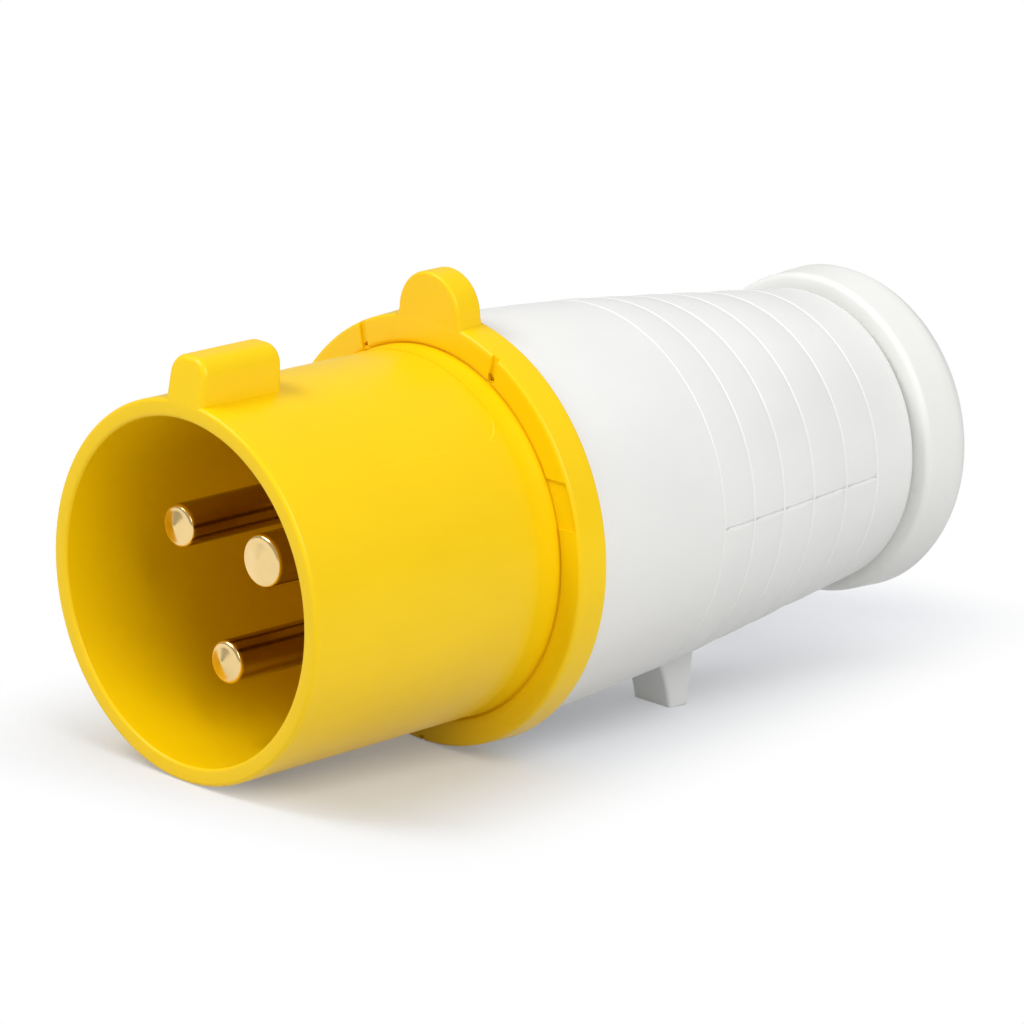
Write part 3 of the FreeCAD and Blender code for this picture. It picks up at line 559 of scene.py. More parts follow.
@dataclass(frozen=True)
class MouldedFinish:
    """Injection-moulded plastic: a fine skin, faint flow clouds and uneven gloss."""

    name: str
    colour: Colour
    gloss: float = 0.34
    unevenness: float = 0.06
    grain: float = 0.03
    shine: float = 0.4
    ior: float = 1.5
    cloud_scale: float = 70.0
    cloud_stretch: Place = (0.6, 1.0, 1.0)
    cloud_dark: float = 0.965
    cloud_light: float = 1.02
    wipe_scale: float = 420.0
    wave_scale: float = 160.0
    wave_strength: float = 0.25
    wave_depth: float = 2.5
    skin_scale: float = 2600.0
    skin_strength: float = 0.35

    def material(self) -> bpy.types.Material:
        """Builds the material; its waves' depth is a share of its grain's.

        Returns:
            The material.
        """
        surface = Surface(self.name)
        clouds = surface.noise(self.cloud_scale, 3.0, self.cloud_stretch)
        surface.put("Base Color", surface.shades(clouds, self.colour, self.cloud_dark, self.cloud_light))
        low = self.gloss - self.unevenness / 2
        wiped = surface.noise(self.wipe_scale, 4.0)
        surface.put("Roughness", surface.ranged(wiped, low, low + self.unevenness))
        waves = surface.noise(self.wave_scale, 1.0)
        wavy = surface.bump(waves, self.wave_strength, self.grain * self.wave_depth)
        skin = surface.noise(self.skin_scale, 4.0)
        surface.put("Normal", surface.bump(skin, self.skin_strength, self.grain, wavy))
        surface.put("IOR", self.ior)
        surface.put("Specular IOR Level", self.shine)
        return surface.material


@dataclass(frozen=True)
class TurnedMetal:
    """Metal from a lathe, with its fine rings and faint tarnish, and, where asked, a painted shade that
    darkens it behind a place on X.
    """

    name: str
    colour: Colour
    gloss: float = 0.2
    wear: float = 0.05
    wear_scale: float = 500.0
    tarnish: float = 0.93
    bright: float = 1.04
    tarnish_scale: float = 260.0
    ring_depth: float = 0.002
    ring_scale: float = 700.0
    ring_strength: float = 0.4
    dent_depth: float = 0.004
    dent_scale: float = 300.0
    dent_strength: float = 0.25
    brushed: float = 0.0
    axis: Axis | None = None
    # painted shade: behind this place on X the metal takes a darker colour, which stands in for the
    # shade and dark reflections inside the shroud
    painted_shade_from: float | None = None
    painted_shade_colour: Colour = linear(168, 138, 84)

    def material(self) -> bpy.types.Material:
        """Builds the material.

        Returns:
            The material.
        """
        surface = Surface(self.name)
        if self.axis is not None:
            surface.put("Anisotropic", self.brushed)
            surface.put("Tangent", surface.round_about(self.axis))
        stain = surface.noise(self.tarnish_scale, 4.0)
        colour = surface.shades(stain, self.colour, self.tarnish, self.bright)
        # painted shade: behind the given place the colour turns darker, as if the metal lay in the
        # shroud's shade
        if self.painted_shade_from is not None:
            shaded_colour = surface.shades(stain, self.painted_shade_colour, self.tarnish, self.bright)
            colour = surface.beyond(self.painted_shade_from, colour, shaded_colour)
        surface.put("Base Color", colour)
        surface.put("Metallic", 1.0)
        worn = surface.noise(self.wear_scale, 3.0)
        surface.put("Roughness", surface.ranged(worn, self.gloss, self.gloss + self.wear))
        ringed = surface.bump(surface.rings(self.ring_scale), self.ring_strength, self.ring_depth)
        dents = surface.noise(self.dent_scale, 1.0)
        surface.put("Normal", surface.bump(dents, self.dent_strength, self.dent_depth, ringed))
        return surface.material


@dataclass(frozen=True)
class SoftRubber:
    """Matt rubber with a bloom on it."""

    name: str
    colour: Colour
    bloom_scale: float = 300.0
    bloom_dark: float = 0.85
    bloom_light: float = 1.35
    gloss: float = 0.62
    matt: float = 0.8
    gloss_scale: float = 700.0
    grain: float = 0.03
    grain_scale: float = 3000.0
    grain_strength: float = 0.5

    def material(self) -> bpy.types.Material:
        """Builds the material.

        Returns:
            The material.
        """
        surface = Surface(self.name)
        bloom = surface.noise(self.bloom_scale, 5.0)
        surface.put("Base Color", surface.shades(bloom, self.colour, self.bloom_dark, self.bloom_light))
        surface.put("Roughness", surface.ranged(surface.noise(self.gloss_scale), self.gloss, self.matt))
        grains = surface.noise(self.grain_scale, 4.0)
        surface.put("Normal", surface.bump(grains, self.grain_strength, self.grain))
        return surface.material


# the mouldings


@dataclass
class FrontMoulding:
    """The yellow shroud with its key, its flange and ear, the base and the skirt."""

    length: float = 37.0
    mouth_r: float = 21.95
    root_r: float = 21.8
    bore_r: float = 19.85
    bore_root_r: float = 19.45
    rim_round: float = 0.5
    rim_inner_round: float = 0.4
    base_front: float = 1.5
    base_rear: float = 2.0
    corner_round: float = 1.2
    flare_start: float = 3.4
    flare_end: float = 0.3
    flare_r: float = 21.9
    flare_round: float = 9.8
    crease_depth: float = 0.4
    crease_round: float = 0.17
    crease_r: float = 22.25
    flange_front_r: float = 25.35
    flange_r: float = 25.5
    flange_thick: float = 4.2
    flange_edge: float = 0.45
    skirt_r: float = 21.4
    skirt_bore_r: float = 19.3
    skirt_end: float = 15.0
    bead_x: float = 10.6
    bead_width: float = 1.8
    bead_rise: float = 0.35
    key_width: float = 5.9
    key_top: float = 26.95
    key_root: float = 20.7
    key_length: float = 12.1
    key_set_back: float = 0.05
    key_rake: float = 0.95
    key_end_round: float = 0.65
    key_edge_round: float = 2.2
    ear_r: float = 4.95
    ear_centre: float = 25.72
    ear_root: float = 23.8
    ear_thick: float = 3.8
    ear_edge: float = 0.45
    ear_spread: float = 1.1
    ear_sink: float = 0.02
    slit_y: float = 10.2
    slit_width: float = 1.1
    slit_lean: float = 0.45
    slit_low: float = 19.62
    slit_high: float = 23.6
    slit_depth: float = 0.35
    notch_width: float = 1.1
    notch_depth: float = 0.8
    notch_start: float = 0.05
    notch_lap: float = 0.1
    notch_fall: float = 0.88
    pocket_low: float = 5.2
    pocket_high: float = 10.6
    pocket_r: float = 25.0
    pocket_depth: float = 0.3
    pocket_lap: float = 0.1
    nick_width: float = 0.7
    nick_rise: float = 0.8
    nick_depth: float = 1.1
    panel_front: float = 24.2
    panel_rear: float = 2.8
    panel_low: float = 15.0
    panel_corner: float = 3.0
    panel_depth: float = 0.14

    def profile(self) -> Profile:
        """The line of the turned form, from the middle of the base and back to it.

        Returns:
            The profile.
        """
        mouth = -self.length
        base = -self.base_front
        edge = self.flange_edge
        line = Profile().to(base, MIDDLE).to(base, self.bore_root_r - self.corner_round, 6)
        line.arc(base - self.corner_round, self.bore_root_r, self.corner_round, Bend.LEFT)
        line.to(mouth + self.rim_inner_round, self.bore_r, 10)
        line.arc(mouth, self.bore_r + self.rim_inner_round, self.rim_inner_round, Bend.RIGHT, 5)
        line.to(mouth, self.mouth_r - self.rim_round, 2)
        line.arc(mouth + self.rim_round, self.mouth_r, self.rim_round, Bend.RIGHT, 8)
        line.to(-self.flare_start, self.root_r, 12)
        line.arc(-self.flare_end, self.flare_r, self.flare_round, Bend.LEFT, 8)
        line.to(self.crease_depth - self.crease_round, self.flare_r)
        line.arc(self.crease_depth, self.flare_r + self.crease_round, self.crease_round, Bend.LEFT, 4)
        line.arc(0.0, self.crease_r + self.crease_round, self.crease_depth, Bend.RIGHT, 5)
        line.to(0.0, self.flange_front_r - edge, 4)
        line.arc(edge, self.flange_front_r, edge, Bend.RIGHT, 4)
        line.to(self.flange_thick - edge, self.flange_r, 3)
        line.arc(self.flange_thick, self.flange_r - edge, edge, Bend.RIGHT, 4)
        line.to(self.flange_thick, self.skirt_r, 2).to(self.bead_x, self.skirt_r, 2)
        line.to(self.bead_x + self.bead_width / 2, self.skirt_r + self.bead_rise)
        line.to(self.bead_x + self.bead_width, self.skirt_r).to(self.skirt_end, self.skirt_r)
        line.to(self.skirt_end, self.skirt_bore_r).to(self.base_rear, self.skirt_bore_r, 3)
        return line.to(self.base_rear, MIDDLE, 4)

    def key(self) -> Piece:
        """The rib at the mouth: a block whose front leans back, with rounded edges.

        Returns:
            The rib.
        """
        front = -self.length + self.key_set_back
        rear = -self.length + self.key_length
        half = self.key_width / 2
        top, kink, root = self.key_top, self.mouth_r, self.key_root
        block = Bench.block((front, -half, root), (rear, half, top))
        bpy.ops.mesh.select_all(action="SELECT")
        bpy.ops.mesh.bisect(plane_co=(0.0, 0.0, kink * MM), plane_no=(0.0, 0.0, 1.0))
        Bench.pick_spots(block, lambda spot: spot.x < front + HAIR and spot.z > top - HAIR)
        Bench.move(x=self.key_rake)
        Bench.pick_edges(block, lambda a, b: min(a.z, b.z) > top - HAIR and abs(a.y - b.y) < HAIR)
        Bench.bevel(self.key_edge_round, 8)

        def on_end(spot: Vector) -> bool:
            """Whether a vertex is on the leaning front or on the rear."""
            lean = self.key_rake * max(spot.z - kink, 0.0) / (top - kink)
            return abs(spot.x - front - lean) < HAIR or abs(spot.x - rear) < HAIR

        def on_level(a: Vector, b: Vector, height: float) -> bool:
            """Whether an edge lies level at a height."""
            return abs(a.z - height) < HAIR and abs(b.z - height) < HAIR

        Bench.pick_edges(
            block,
            lambda a, b: on_end(a)
            and on_end(b)
            and abs(a.x - b.x) < self.key_rake + HAIR
            and not on_level(a, b, kink)
            and not on_level(a, b, root),
        )
        Bench.bevel(self.key_end_round, 4)
        Bench.clear()
        return block

    def ear(self) -> Piece:
        """The half-round ear on the flange, drawn from a disc whose lower half is squared.

        Returns:
            The ear.
        """
        middle = ((self.ear_thick + self.ear_sink) / 2, 0.0, self.ear_centre)
        ear = Bench.rod(PIN_SIDES, self.ear_r, self.ear_thick - self.ear_sink, middle, math.pi / 2)
        bpy.ops.object.mode_set(mode="EDIT")
        Bench.pick_spots(ear, lambda spot: spot.z < self.ear_centre - HAIR)
        bpy.ops.transform.resize(
            value=(1.0, self.ear_spread, 0.0), center_override=(0.0, 0.0, self.ear_centre * MM)
        )
        Bench.move(z=self.ear_root - self.ear_centre)
        Bench.pick_edges(
            ear, lambda a, b: abs(a.x - b.x) < HAIR and max(a.z, b.z) > self.ear_centre - HAIR
        )
        Bench.bevel(self.ear_edge, 4)
        Bench.clear()
        return ear

    def slit(self, side: int) -> Piece:
        """The block that cuts one shallow slit, which leans outwards.

        Args:
            side: 1 for the side of +Y, -1 for the other.

        Returns:
            The cutter.
        """
        inner, outer = side * self.slit_y, side * (self.slit_y + self.slit_width)
        block = Bench.block(
            (-CLEAR, min(inner, outer), self.slit_low),
            (self.slit_depth, max(inner, outer), self.slit_high),
        )
        for end, way in ((self.slit_low, -1), (self.slit_high, 1)):
            Bench.pick_spots(block, lambda spot: abs(spot.z - end) < HAIR)
            Bench.move(y=side * way * self.slit_lean)
        Bench.clear()
        return block

    def notch(self, side: int) -> Piece:
        """The wedge that cuts the deeper notch at a slit's foot.

        Args:
            side: 1 for the side of +Y, -1 for the other.

        Returns:
            The cutter.
        """
        near = side * (self.slit_y - self.slit_lean)
        far = near + side * self.notch_width
        low = math.sqrt(self.crease_r**2 - near**2) - self.notch_lap
        block = Bench.block(
            (self.notch_start, min(near, far), low),
            (self.notch_depth, max(near, far), low + self.notch_width),
        )
        Bench.pick_spots(block, lambda spot: spot.z > low + HAIR and abs(spot.y - far) < HAIR)
        Bench.move(z=-self.notch_fall)
        Bench.clear()
        return block

    def pocket(self, side: int) -> Piece:
        """The part of a ring that cuts one side pocket.

        Args:
            side: 1 for the side of +Y, -1 for the other.

        Returns:
            The cutter.
        """
        inside = self.crease_r - self.pocket_lap
        ring = Profile().to(-CLEAR, inside).to(-CLEAR, self.pocket_r)
        ring.to(self.pocket_depth, self.pocket_r).to(self.pocket_depth, inside).to(-CLEAR, inside)
        cutter = Bench.turn(ring, MOULDING_SIDES)
        far = side * (self.flange_r + CLEAR)
        block = Bench.block(
            (-2 * CLEAR, min(0.0, far), self.pocket_low),
            (2 * CLEAR, max(0.0, far), self.pocket_high),
        )
        Bench.combine(cutter, block, Combining.KEEP)
        return cutter

    def nick(self) -> Piece:
        """The block that cuts the nick at the foot of the flange.

        Returns:
            The cutter.
        """
        half = self.nick_width / 2
        foot = -self.flange_r
        block = Bench.block(
            (-CLEAR, -half, foot - CLEAR), (self.nick_depth, half, foot + self.nick_rise)
        )
        Bench.clear()
        return block

    def panel(self) -> Piece:
        """The shell that sinks the bare panel under the key by a hair.

        Returns:
            The cutter.
        """
        slope = (self.mouth_r - self.root_r) / (self.length - self.rim_round - self.flare_start)
        front, rear = -self.panel_front - CLEAR, -self.panel_rear + CLEAR
        front_r, rear_r = (self.root_r - slope * (x + self.flare_start) for x in (front, rear))
        line = Profile().to(front, front_r - self.panel_depth).to(front, front_r + 2 * CLEAR)
        line.to(rear, rear_r + 2 * CLEAR).to(rear, rear_r - self.panel_depth)
        line.to(front, front_r - self.panel_depth)
        shell = Bench.turn(line, MOULDING_SIDES)
        block = Bench.block(
            (-self.panel_front, -self.mouth_r, self.panel_low),
            (-self.panel_rear, self.mouth_r, self.mouth_r + 4 * CLEAR),
        )
        low = self.panel_low + HAIR
        Bench.pick_edges(block, lambda a, b: max(a.z, b.z) < low and abs(a.x - b.x) < HAIR)
        Bench.bevel(self.panel_corner, 8)
        Bench.combine(shell, block, Combining.KEEP)
        return shell

    def build(self, material: bpy.types.Material) -> Piece:
        """Models the moulding.

        Args:
            material: Its finish.

        Returns:
            The piece.
        """
        piece = Bench.turn(self.profile(), MOULDING_SIDES)
        for part in (self.key, self.ear):
            Bench.combine(piece, part(), Combining.JOIN)
        for cutter in (self.panel(), self.nick()):
            Bench.combine(piece, cutter, Combining.TAKE)
        for side in (1, -1):
            for cutter in (self.slit(side), self.notch(side), self.pocket(side)):
                Bench.combine(piece, cutter, Combining.TAKE)
        return Bench.finish(piece, "shroud_moulding", "front_shroud", "yellow_shell", material)


@dataclass
class ContactPin:
    """One brass pin with its collar and terminal barrel."""

    name: str
    radius: float
    tip: float
    angle: float
    ring_r: float = 9.38
    tip_rise: float = 0.6
    tip_round: float = 0.5
    root_x: float = -1.5
    root_rise: float = 0.3
    collar_x: float = 2.1
    collar_r: float = 5.0
    collar_thick: float = 1.8
    shank_r: float = 3.4
    barrel_x: float = 8.4
    barrel_r: float = 4.3
    barrel_end: float = 23.0
    barrel_flat: float = 3.7
    flat_start: float = 12.0
    wire_bore_r: float = 2.1
    wire_bore_length: float = 11.0
    screw_x: float = 16.6
    screw_hole_r: float = 2.0
    edge: float = 0.25
    crease: float = 25.0

    def centre(self) -> Axis:
        """Where its axis stands, as y and z; the angle is from the key, about X."""
        turn = math.radians(self.angle)
        return -self.ring_r * math.sin(turn), self.ring_r * math.cos(turn)

    def profile(self) -> Profile:
        """The turned line from the tip to the bottom of the wire bore.

        Returns:
            The profile.
        """
        shoulder = -self.tip + self.tip_rise
        root_r = self.radius + self.root_rise
        line = Profile().to(-self.tip, MIDDLE).to(shoulder, self.radius - self.tip_round, 6)
        line.arc(shoulder + self.tip_round, self.radius, self.tip_round, Bend.RIGHT, 8)
        line.to(self.root_x, self.radius, 8).to(self.root_x, root_r).to(self.collar_x, root_r)
        line.to(self.collar_x, self.collar_r - self.edge).to(self.collar_x + self.edge, self.collar_r)
        back = self.collar_x + self.collar_thick
        line.to(back, self.collar_r).to(back, self.shank_r).to(self.barrel_x, self.shank_r)
        line.to(self.barrel_x, self.barrel_r - self.edge).to(self.barrel_x + self.edge, self.barrel_r)
        line.to(self.barrel_end - self.edge, self.barrel_r, 3)
        line.to(self.barrel_end, self.barrel_r - self.edge).to(self.barrel_end, self.wire_bore_r)
        bottom = self.barrel_end - self.wire_bore_length
        return line.to(bottom, self.wire_bore_r, 2).to(bottom, MIDDLE)

    def build(self, brass: TurnedMetal) -> Piece:
        """Models the pin under the key and turns it to its place.

        Args:
            brass: Its finish, which is turned round the pin's own axis.

        Returns:
            The piece.
        """
        piece = Bench.turn(self.profile(), PIN_SIDES, (0.0, self.ring_r))
        flat = Bench.block(
            (self.flat_start, -self.barrel_r - CLEAR, self.ring_r + self.barrel_flat),
            (self.barrel_end + CLEAR, self.barrel_r + CLEAR, self.ring_r + self.barrel_r + CLEAR),
        )
        Bench.combine(piece, flat, Combining.TAKE)
        middle = (self.screw_x, 0.0, self.ring_r + self.barrel_r / 2)
        tap = Bench.rod(HOLE_SIDES, self.screw_hole_r, self.barrel_r, middle)
        Bench.combine(piece, tap, Combining.TAKE)
        piece.rotation_euler = (math.radians(self.angle), 0.0, 0.0)
        # painted shade starts where the tip's rounding ends, and the shaft behind it is darkened
        shade_from = -self.tip + self.tip_rise + self.tip_round
        own = replace(brass, name=self.name + "_brass", axis=self.centre(), painted_shade_from=shade_from)
        names = (self.name + "_contact", self.name + "_pin", "pin_brass")
        return Bench.finish(piece, *names, own.material(), self.crease)


@dataclass
class RearHousing:
    """The tapered white housing with its ring grooves, mould seams and lug."""

    front_x: float = 4.3
    front_r: float = 24.05
    front_edge: float = 0.2
    front_crown: float = 370.0
    ring_crown: float = 44.0
    rings: tuple[tuple[float, float], ...] = (
        (26.3, 22.66),
        (32.0, 22.03),
        (37.8, 21.3),
        (43.7, 20.6),
        (50.3, 19.7),
        (56.5, 19.05),
    )
    ring_half: float = 0.15
    ring_deep: float = 0.1
    neck_x: float = 64.6
    neck_r: float = 18.25
    neck_round: float = 1.6
    spigot_r: float = 16.2
    spigot_end: float = 69.5
    spigot_edge: float = 0.6
    bore_r: float = 13.3
    seat_x: float = 57.0
    seat_thick: float = 1.8
    seat_r: float = 8.2
    wall: float = 2.3
    socket_end: float = 16.2
    socket_r: float = 21.55
    stop_r: float = 20.9
    seal_bore_r: float = 22.7
    seal_end: float = 5.7
    seam_width: float = 0.6
    seam_depth: float = 0.34
    seam_bridge: float = 0.45
    lug_width: float = 6.2
    lug_top: float = 19.9
    lug_foot: float = 29.3
    lug_hollow: float = 24.0
    lug_foot_front: float = 38.45
    lug_foot_rear: float = 41.6
    lug_top_front: float = 34.7
    lug_top_rear: float = 42.7
    lug_edge: float = 0.5
    lug_steps: int = 12

    def profile(self) -> Profile:
        """The line round the housing's wall, from its front edge and back to it.

        Returns:
            The profile.
        """
        line = Profile().to(self.front_x, self.front_r - self.front_edge)
        line.arc(self.front_x + self.front_edge, self.front_r, self.front_edge, Bend.RIGHT, 3)
        for place, (x, r) in enumerate(self.rings):
            crown, steps = (self.ring_crown, 5) if place else (self.front_crown, 10)
            line.arc(x - self.ring_half, r, crown, Bend.RIGHT, steps)
            line.to(x, r - self.ring_deep).to(x + self.ring_half, r)
        line.to(self.neck_x - self.neck_round, self.neck_r, 3)
        line.arc(self.neck_x, self.neck_r - self.neck_round, self.neck_round, Bend.RIGHT, 8)
        line.to(self.neck_x, self.spigot_r, 2)
        line.to(self.spigot_end - self.spigot_edge, self.spigot_r, 2)
        line.to(self.spigot_end, self.spigot_r - self.spigot_edge).to(self.spigot_end, self.bore_r)
        seat_back = self.seat_x + self.seat_thick
        line.to(seat_back, self.bore_r, 3).to(seat_back, self.seat_r, 2).to(self.seat_x, self.seat_r)
        line.to(self.seat_x, self.rings[-1][1] - self.wall, 2)
        line.to(self.rings[2][0], self.rings[2][1] - self.wall, 3)
        line.to(self.rings[0][0], self.rings[0][1] - self.wall, 2)
        line.to(self.socket_end, self.stop_r, 2).to(self.socket_end, self.socket_r)
        line.to(self.seal_end, self.socket_r, 3).to(self.seal_end, self.seal_bore_r)
        return line.to(self.front_x, self.seal_bore_r).to(self.front_x, self.front_r - self.front_edge)

    def cut_seam(self, piece: Piece, side: int) -> None:
        """Opens the mould seam along one side: its line is bevelled and sunk between the rings.

        Args:
            piece: The turned housing.
            side: 1 for the side of +Y, -1 for the other.
        """
        Bench.hold(piece)
        bpy.ops.object.mode_set(mode="EDIT")
        first, last = self.rings[0][0] - HAIR, self.rings[-1][0] + HAIR
        inside = self.rings[-1][1] - CLEAR

        def on_line(spot: Vector) -> bool:
            """Whether a vertex is on the seam's line."""
            return abs(spot.z) < HAIR and spot.y * side > inside and first < spot.x < last

        def between(x: float) -> bool:
            """Whether a place along the axis is clear of every ring."""
            return min(abs(x - ring_x) for ring_x, _ in self.rings) > self.seam_bridge

        Bench.pick_edges(piece, lambda a, b: on_line(a) and on_line(b))
        Bench.bevel(self.seam_width / 2, 2)
        Bench.pick_spots(piece, lambda spot: on_line(spot) and between(spot.x))
        Bench.move(y=-side * self.seam_depth)
        Bench.clear()

    def lug(self) -> Piece:
        """The lid's lug: a block whose front is hollowed and whose rear leans in.

        Returns:
            The lug.
        """
        half = self.lug_width / 2
        front, rear = self.lug_top_front, self.lug_top_rear
        block = Bench.block((front, -half, -self.lug_foot), (rear, half, -self.lug_top))
        upright = self.lug_foot - self.lug_top
        Bench.pick_edges(block, lambda a, b: abs(a.z - b.z) > upright / 2)
        bpy.ops.mesh.subdivide(number_cuts=self.lug_steps - 1)
        chord = Vector((self.lug_foot_front - front, -upright))
        middle = Vector((front, -self.lug_top)) + chord / 2
        away = Vector((chord.y, -chord.x)).normalized()
        centre = middle + away * math.sqrt(self.lug_hollow**2 - chord.length**2 / 4)
        for step in range(self.lug_steps + 1):
            share = 1.0 - step / self.lug_steps
            level = -self.lug_top - upright * share
            hollow = centre.x + math.sqrt(self.lug_hollow**2 - (level - centre.y) ** 2)
            for end, moved in ((front, hollow - front), (rear, (self.lug_foot_rear - rear) * share)):
                Bench.pick_spots(
                    block, lambda spot: abs(spot.x - end) < HAIR and abs(spot.z - level) < HAIR
                )
                Bench.move(x=moved)
        foot = -self.lug_foot + HAIR
        Bench.pick_edges(
            block,
            lambda a, b: max(a.z, b.z) < foot or (abs(a.z - b.z) > HAIR and abs(a.y - b.y) < HAIR),
        )
        Bench.bevel(self.lug_edge, 4)
        Bench.clear()
        return block

    def build(self, material: bpy.types.Material) -> Piece:
        """Models the housing.

        Args:
            material: Its finish.

        Returns:
            The piece.
        """
        piece = Bench.turn(self.profile(), MOULDING_SIDES)
        for side in (1, -1):
            self.cut_seam(piece, side)
        Bench.combine(piece, self.lug(), Combining.JOIN)
        return Bench.finish(piece, "housing_moulding", "rear_housing", "white_shell", material)


@dataclass
class GlandNut:
    """The round nut that closes the cord gland."""

    front: float = 64.8
    front_r: float = 19.85
    front_round: float = 0.8
    side_end: float = 70.2
    side_r: float = 20.1
    dome: float = 6.5
    rear: float = 74.6
    land_r: float = 13.8
    wall: float = 1.8
    mouth_r: float = 10.3
    mouth_round: float = 1.2
    thread_r: float = 16.4
    thread_lead: float = 0.6

    def profile(self) -> Profile:
        """The line round the nut's wall.

        Returns:
            The profile.
        """
        line = Profile().to(self.front, self.thread_r + self.thread_lead)
        line.to(self.front, self.front_r - self.front_round, 3)
        line.arc(self.front + self.front_round, self.front_r, self.front_round, Bend.RIGHT, 5)
        line.to(self.side_end, self.side_r, 4)
        line.arc(self.rear, self.land_r, self.dome, Bend.RIGHT, 14)
        line.to(self.rear, self.mouth_r + self.mouth_round, 2)
        line.arc(self.rear - self.mouth_round, self.mouth_r, self.mouth_round, Bend.RIGHT, 7)
        line.to(self.rear - self.wall, self.mouth_r).to(self.rear - self.wall, self.thread_r, 2)
        line.to(self.front + self.thread_lead, self.thread_r, 3)
        return line.to(self.front, self.thread_r + self.thread_lead)

    def build(self, material: bpy.types.Material) -> Piece:
        """Models the nut.

        Args:
            material: Its finish.

        Returns:
            The piece.
        """
        piece = Bench.turn(self.profile(), MOULDING_SIDES)
        return Bench.finish(piece, "nut_moulding", "gland_nut", "white_nut", material)


@dataclass
class InnerPieces:
    """The pieces that keep the frame's solids, each with its finish."""

    finishes: dict[str, bpy.types.Material]

    def dress(self) -> None:
        """Puts each node's finish in its own material slots."""
        slots = {part["node"]: part["material_slot"] for part in frame["record"]["subparts"]}
        for name, node in frame["nodes"].items():
            material = self.finishes[slots[name]]
            if not node.material_slots:
                node.data.materials.append(material)
            for place in node.material_slots:
                place.material = material
            LOG.info("%s is dressed in %s", name, material.name)


# the stage


@dataclass(frozen=True)
class Lamp:
    """A soft square lamp, in metres and watts."""

    name: str
    place: Place
    size: float
    power: float

    def hang(self, aim: Place) -> None:
        """Adds the lamp.

        Args:
            aim: The place that it faces.
        """
        Bench.clear()
        bpy.ops.object.light_add(type="AREA", location=self.place)
        lamp = bpy.context.object
        lamp.name = self.name
        lamp.data.size = self.size
        lamp.data.energy = self.power
        way = Vector(aim) - Vector(self.place)
        lamp.rotation_euler = way.to_track_quat("-Z", "Y").to_euler()


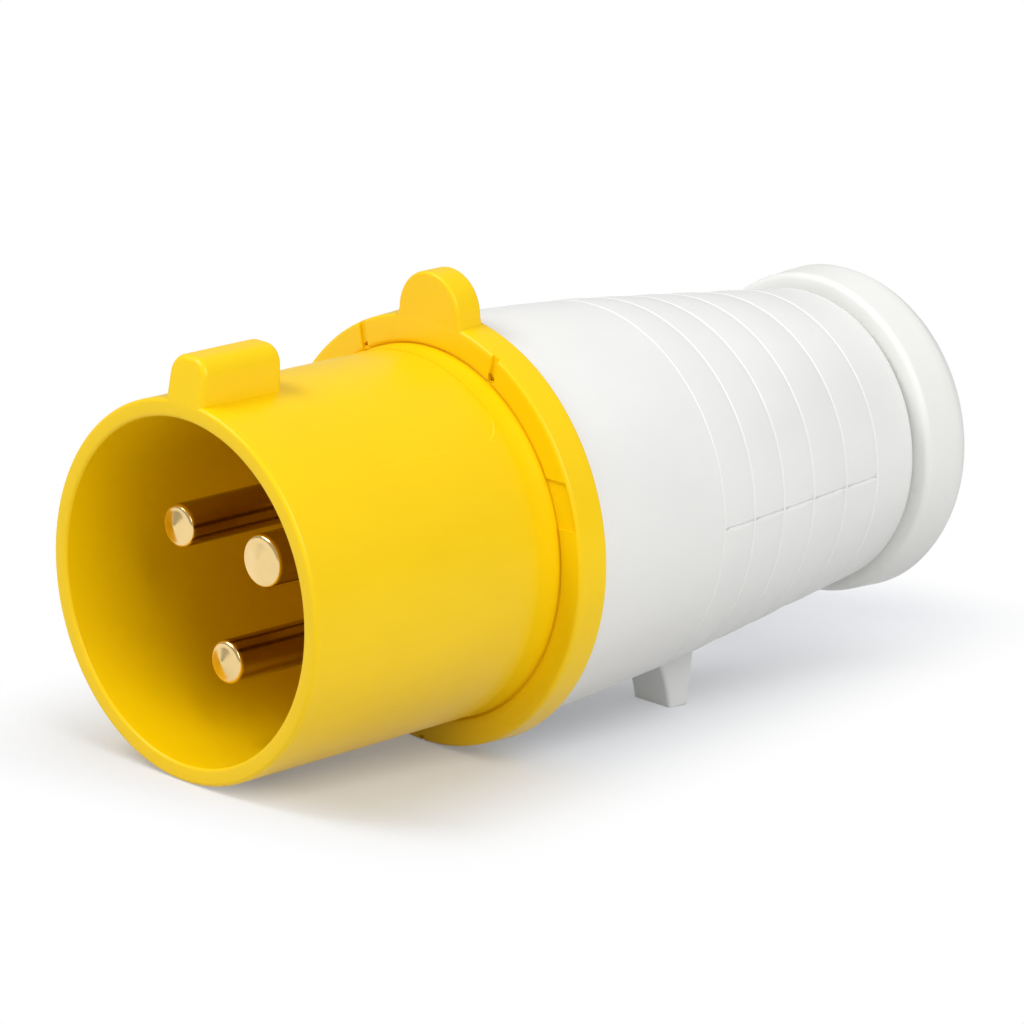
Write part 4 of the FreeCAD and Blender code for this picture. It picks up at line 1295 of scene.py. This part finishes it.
@dataclass
class Studio:
    """The pale floor, the soft lamps and the camera."""

    floor_z: float = -25.4
    floor_slope: float = 0.094
    floor_size: float = 5.0
    # the pool near the plug, in which the floor shows its shadow and its painted shade
    pool_place: Axis = (33.0, 17.0)
    pool_turn: float = 17.0
    pool_length: float = 0.091
    pool_width: float = 0.042
    fade_along: float = 0.7
    fade_across: float = 0.35
    veil: float = 0.2
    # painted shade: the floor's colour as seen, darker than white and slightly blue against the yellow
    # light that the shroud throws on it, shown only in the pool near the plug
    floor_painted_shade: Colour = (0.74, 0.76, 0.8)
    floor_bounce: Colour = (0.67, 0.67, 0.67)
    sky: float = 0.44
    lamps: tuple[Lamp, ...] = (
        Lamp("key_lamp", (-0.48, 0.4, 0.84), 0.5, 5.5),
        Lamp("side_lamp", (-0.2, -0.82, 0.72), 0.6, 6.1),
    )
    lamp_aim: Place = (0.02, 0.0, 0.0)
    camera_place: Place = (-0.4335, -0.4527, 0.1857)
    camera_right: Place = (0.71471, -0.69919, 0.01810)
    camera_ahead: Place = (0.67483, 0.68255, -0.28058)
    lens: float = 199.95
    sensor: float = 36.0

    def floor(self) -> None:
        """The floor, which the mouth, the flange and the lug rest on."""
        Bench.clear()
        along, across = self.pool_place
        bpy.ops.mesh.primitive_plane_add(
            size=self.floor_size,
            location=(along * MM, across * MM, (self.floor_z - self.floor_slope * along) * MM),
            rotation=(0.0, math.atan(self.floor_slope), 0.0),
        )
        floor = bpy.context.object
        floor.name = "studio_floor"
        floor.data.materials.append(self.floor_material())

    @staticmethod
    def faded(desk: Desk, value: Socket, start: float, full: float) -> Socket:
        """A value that falls smoothly to nothing where another reaches one.

        Args:
            desk: The floor's nodes.
            value: The other value, a distance.
            start: The distance at which it begins to fall.
            full: What it is up to there.

        Returns:
            The falling value.
        """
        inputs = {"Value": value, "From Min": start, "To Min": full, "To Max": 0.0}
        fade = desk.node("MapRange", inputs, interpolation_type="SMOOTHSTEP")
        return fade.outputs["Result"]

    def floor_material(self) -> bpy.types.Material:
        """Matt floor that keeps the shadow near the plug on a darker, slightly blue painted-shade
        colour, and fades to plain white.

        Returns:
            The material.
        """
        material = bpy.data.materials.new("studio_floor")
        material.use_nodes = True
        material.node_tree.nodes.clear()
        desk = Desk(material.node_tree)
        pool = desk.node(
            "Mapping",
            {
                "Vector": desk.node("TexCoord").outputs["Object"],
                "Rotation": (0.0, 0.0, math.radians(self.pool_turn)),
                "Scale": (self.pool_length, self.pool_width, 1.0),
            },
            vector_type="TEXTURE",
        )
        far = desk.node("VectorMath", {0: pool.outputs["Vector"]}, operation="ABSOLUTE")
        sides = desk.node("SeparateXYZ", {"Vector": far.outputs["Vector"]})
        along = self.faded(desk, sides.outputs["X"], self.fade_along, 1.0)
        across = self.faded(desk, sides.outputs["Y"], self.fade_across, 1.0 - self.veil)
        near = desk.sum_of("MULTIPLY", along, across)
        path = desk.node("LightPath")
        seen = desk.sum_of("MAXIMUM", path.outputs["Is Camera Ray"], path.outputs["Is Glossy Ray"])
        white = desk.sum_of("MULTIPLY", desk.sum_of("SUBTRACT", 1.0, near), seen)
        # painted shade: camera and glossy rays see the darker floor colour, other rays the plain bounce
        # colour
        shade = desk.blend(seen, (*self.floor_bounce, 1.0), (*self.floor_painted_shade, 1.0))
        matt = desk.node("BsdfDiffuse", {"Color": shade}).outputs["BSDF"]
        glow = desk.node("Emission").outputs["Emission"]
        mixed = desk.node("MixShader", {"Fac": white, 1: matt, 2: glow}).outputs["Shader"]
        desk.node("OutputMaterial", {"Surface": mixed})
        return material

    def world(self) -> None:
        """A soft even sky, which the camera sees as white."""
        world = bpy.data.worlds.new("studio_world")
        bpy.context.scene.world = world
        world.use_nodes = True
        desk = Desk(world.node_tree)
        seen = desk.node("LightPath").outputs["Is Camera Ray"]
        strength = desk.node("MapRange", {"Value": seen, "To Min": self.sky, "To Max": 1.0})
        background = world.node_tree.nodes["Background"]
        desk.fill(background.inputs["Color"], (1.0, 1.0, 1.0, 1.0))
        desk.fill(background.inputs["Strength"], strength.outputs["Result"])

    def camera(self) -> None:
        """The camera at the photograph's place, looking along its own line."""
        Bench.clear()
        right = Vector(self.camera_right).normalized()
        back = -Vector(self.camera_ahead).normalized()
        up = back.cross(right).normalized()
        right = up.cross(back)
        bpy.ops.object.camera_add(location=self.camera_place)
        camera = bpy.context.object
        turn = Matrix((right, up, back)).transposed().to_4x4()
        camera.matrix_world = Matrix.Translation(self.camera_place) @ turn
        camera.data.lens = self.lens
        camera.data.sensor_width = self.sensor
        bpy.context.scene.camera = camera

    def build(self) -> None:
        """Sets the stage."""
        self.world()
        self.floor()
        for lamp in self.lamps:
            lamp.hang(self.lamp_aim)
        self.camera()
        bpy.context.scene.view_settings.view_transform = "Standard"


BRASS = TurnedMetal("turned_brass", linear(243, 212, 150), gloss=0.14, brushed=0.55)
YELLOW = MouldedFinish(
    "yellow_moulded", linear(253, 210, 0), gloss=0.36, unevenness=0.07, grain=0.015, shine=0.3
)
WHITE = MouldedFinish("white_moulded", linear(240, 240, 238), gloss=0.48, unevenness=0.08)
NYLON = MouldedFinish(
    "nylon_moulded", linear(225, 222, 212), gloss=0.45, unevenness=0.1, grain=0.05
)
FINISHES: dict[str, MouldedFinish | TurnedMetal | SoftRubber] = {
    "yellow_shell": YELLOW,
    "white_shell": WHITE,
    "white_nut": replace(WHITE, name="white_nut_moulded", colour=linear(240, 240, 237)),
    "carrier_grey": replace(NYLON, name="grey_moulded", colour=linear(92, 94, 97), gloss=0.5),
    "cage_nylon": NYLON,
    "pin_brass": BRASS,
    "plated_steel": TurnedMetal("plated_steel", linear(208, 206, 200), gloss=0.26),
    "guard_steel": TurnedMetal("guard_steel", linear(196, 194, 188), gloss=0.3),
    "seal_rubber": SoftRubber("seal_rubber", linear(34, 34, 36)),
}
PINS = (
    ContactPin("earth", radius=3.0, tip=33.3, angle=60.0),
    ContactPin("line", radius=2.5, tip=31.2, angle=-60.0),
    ContactPin("neutral", radius=2.5, tip=31.2, angle=180.0),
)


def main() -> None:
    """Builds the finishes, the pieces and the stage."""
    logging.basicConfig(level=logging.INFO, format="%(message)s")
    materials = {slot: finish.material() for slot, finish in FINISHES.items()}
    InnerPieces(materials).dress()
    FrontMoulding().build(materials["yellow_shell"])
    for pin in PINS:
        pin.build(BRASS)
    RearHousing().build(materials["white_shell"])
    GlandNut().build(materials["white_nut"])
    Studio().build()


if __name__ == "__main__":
    main()
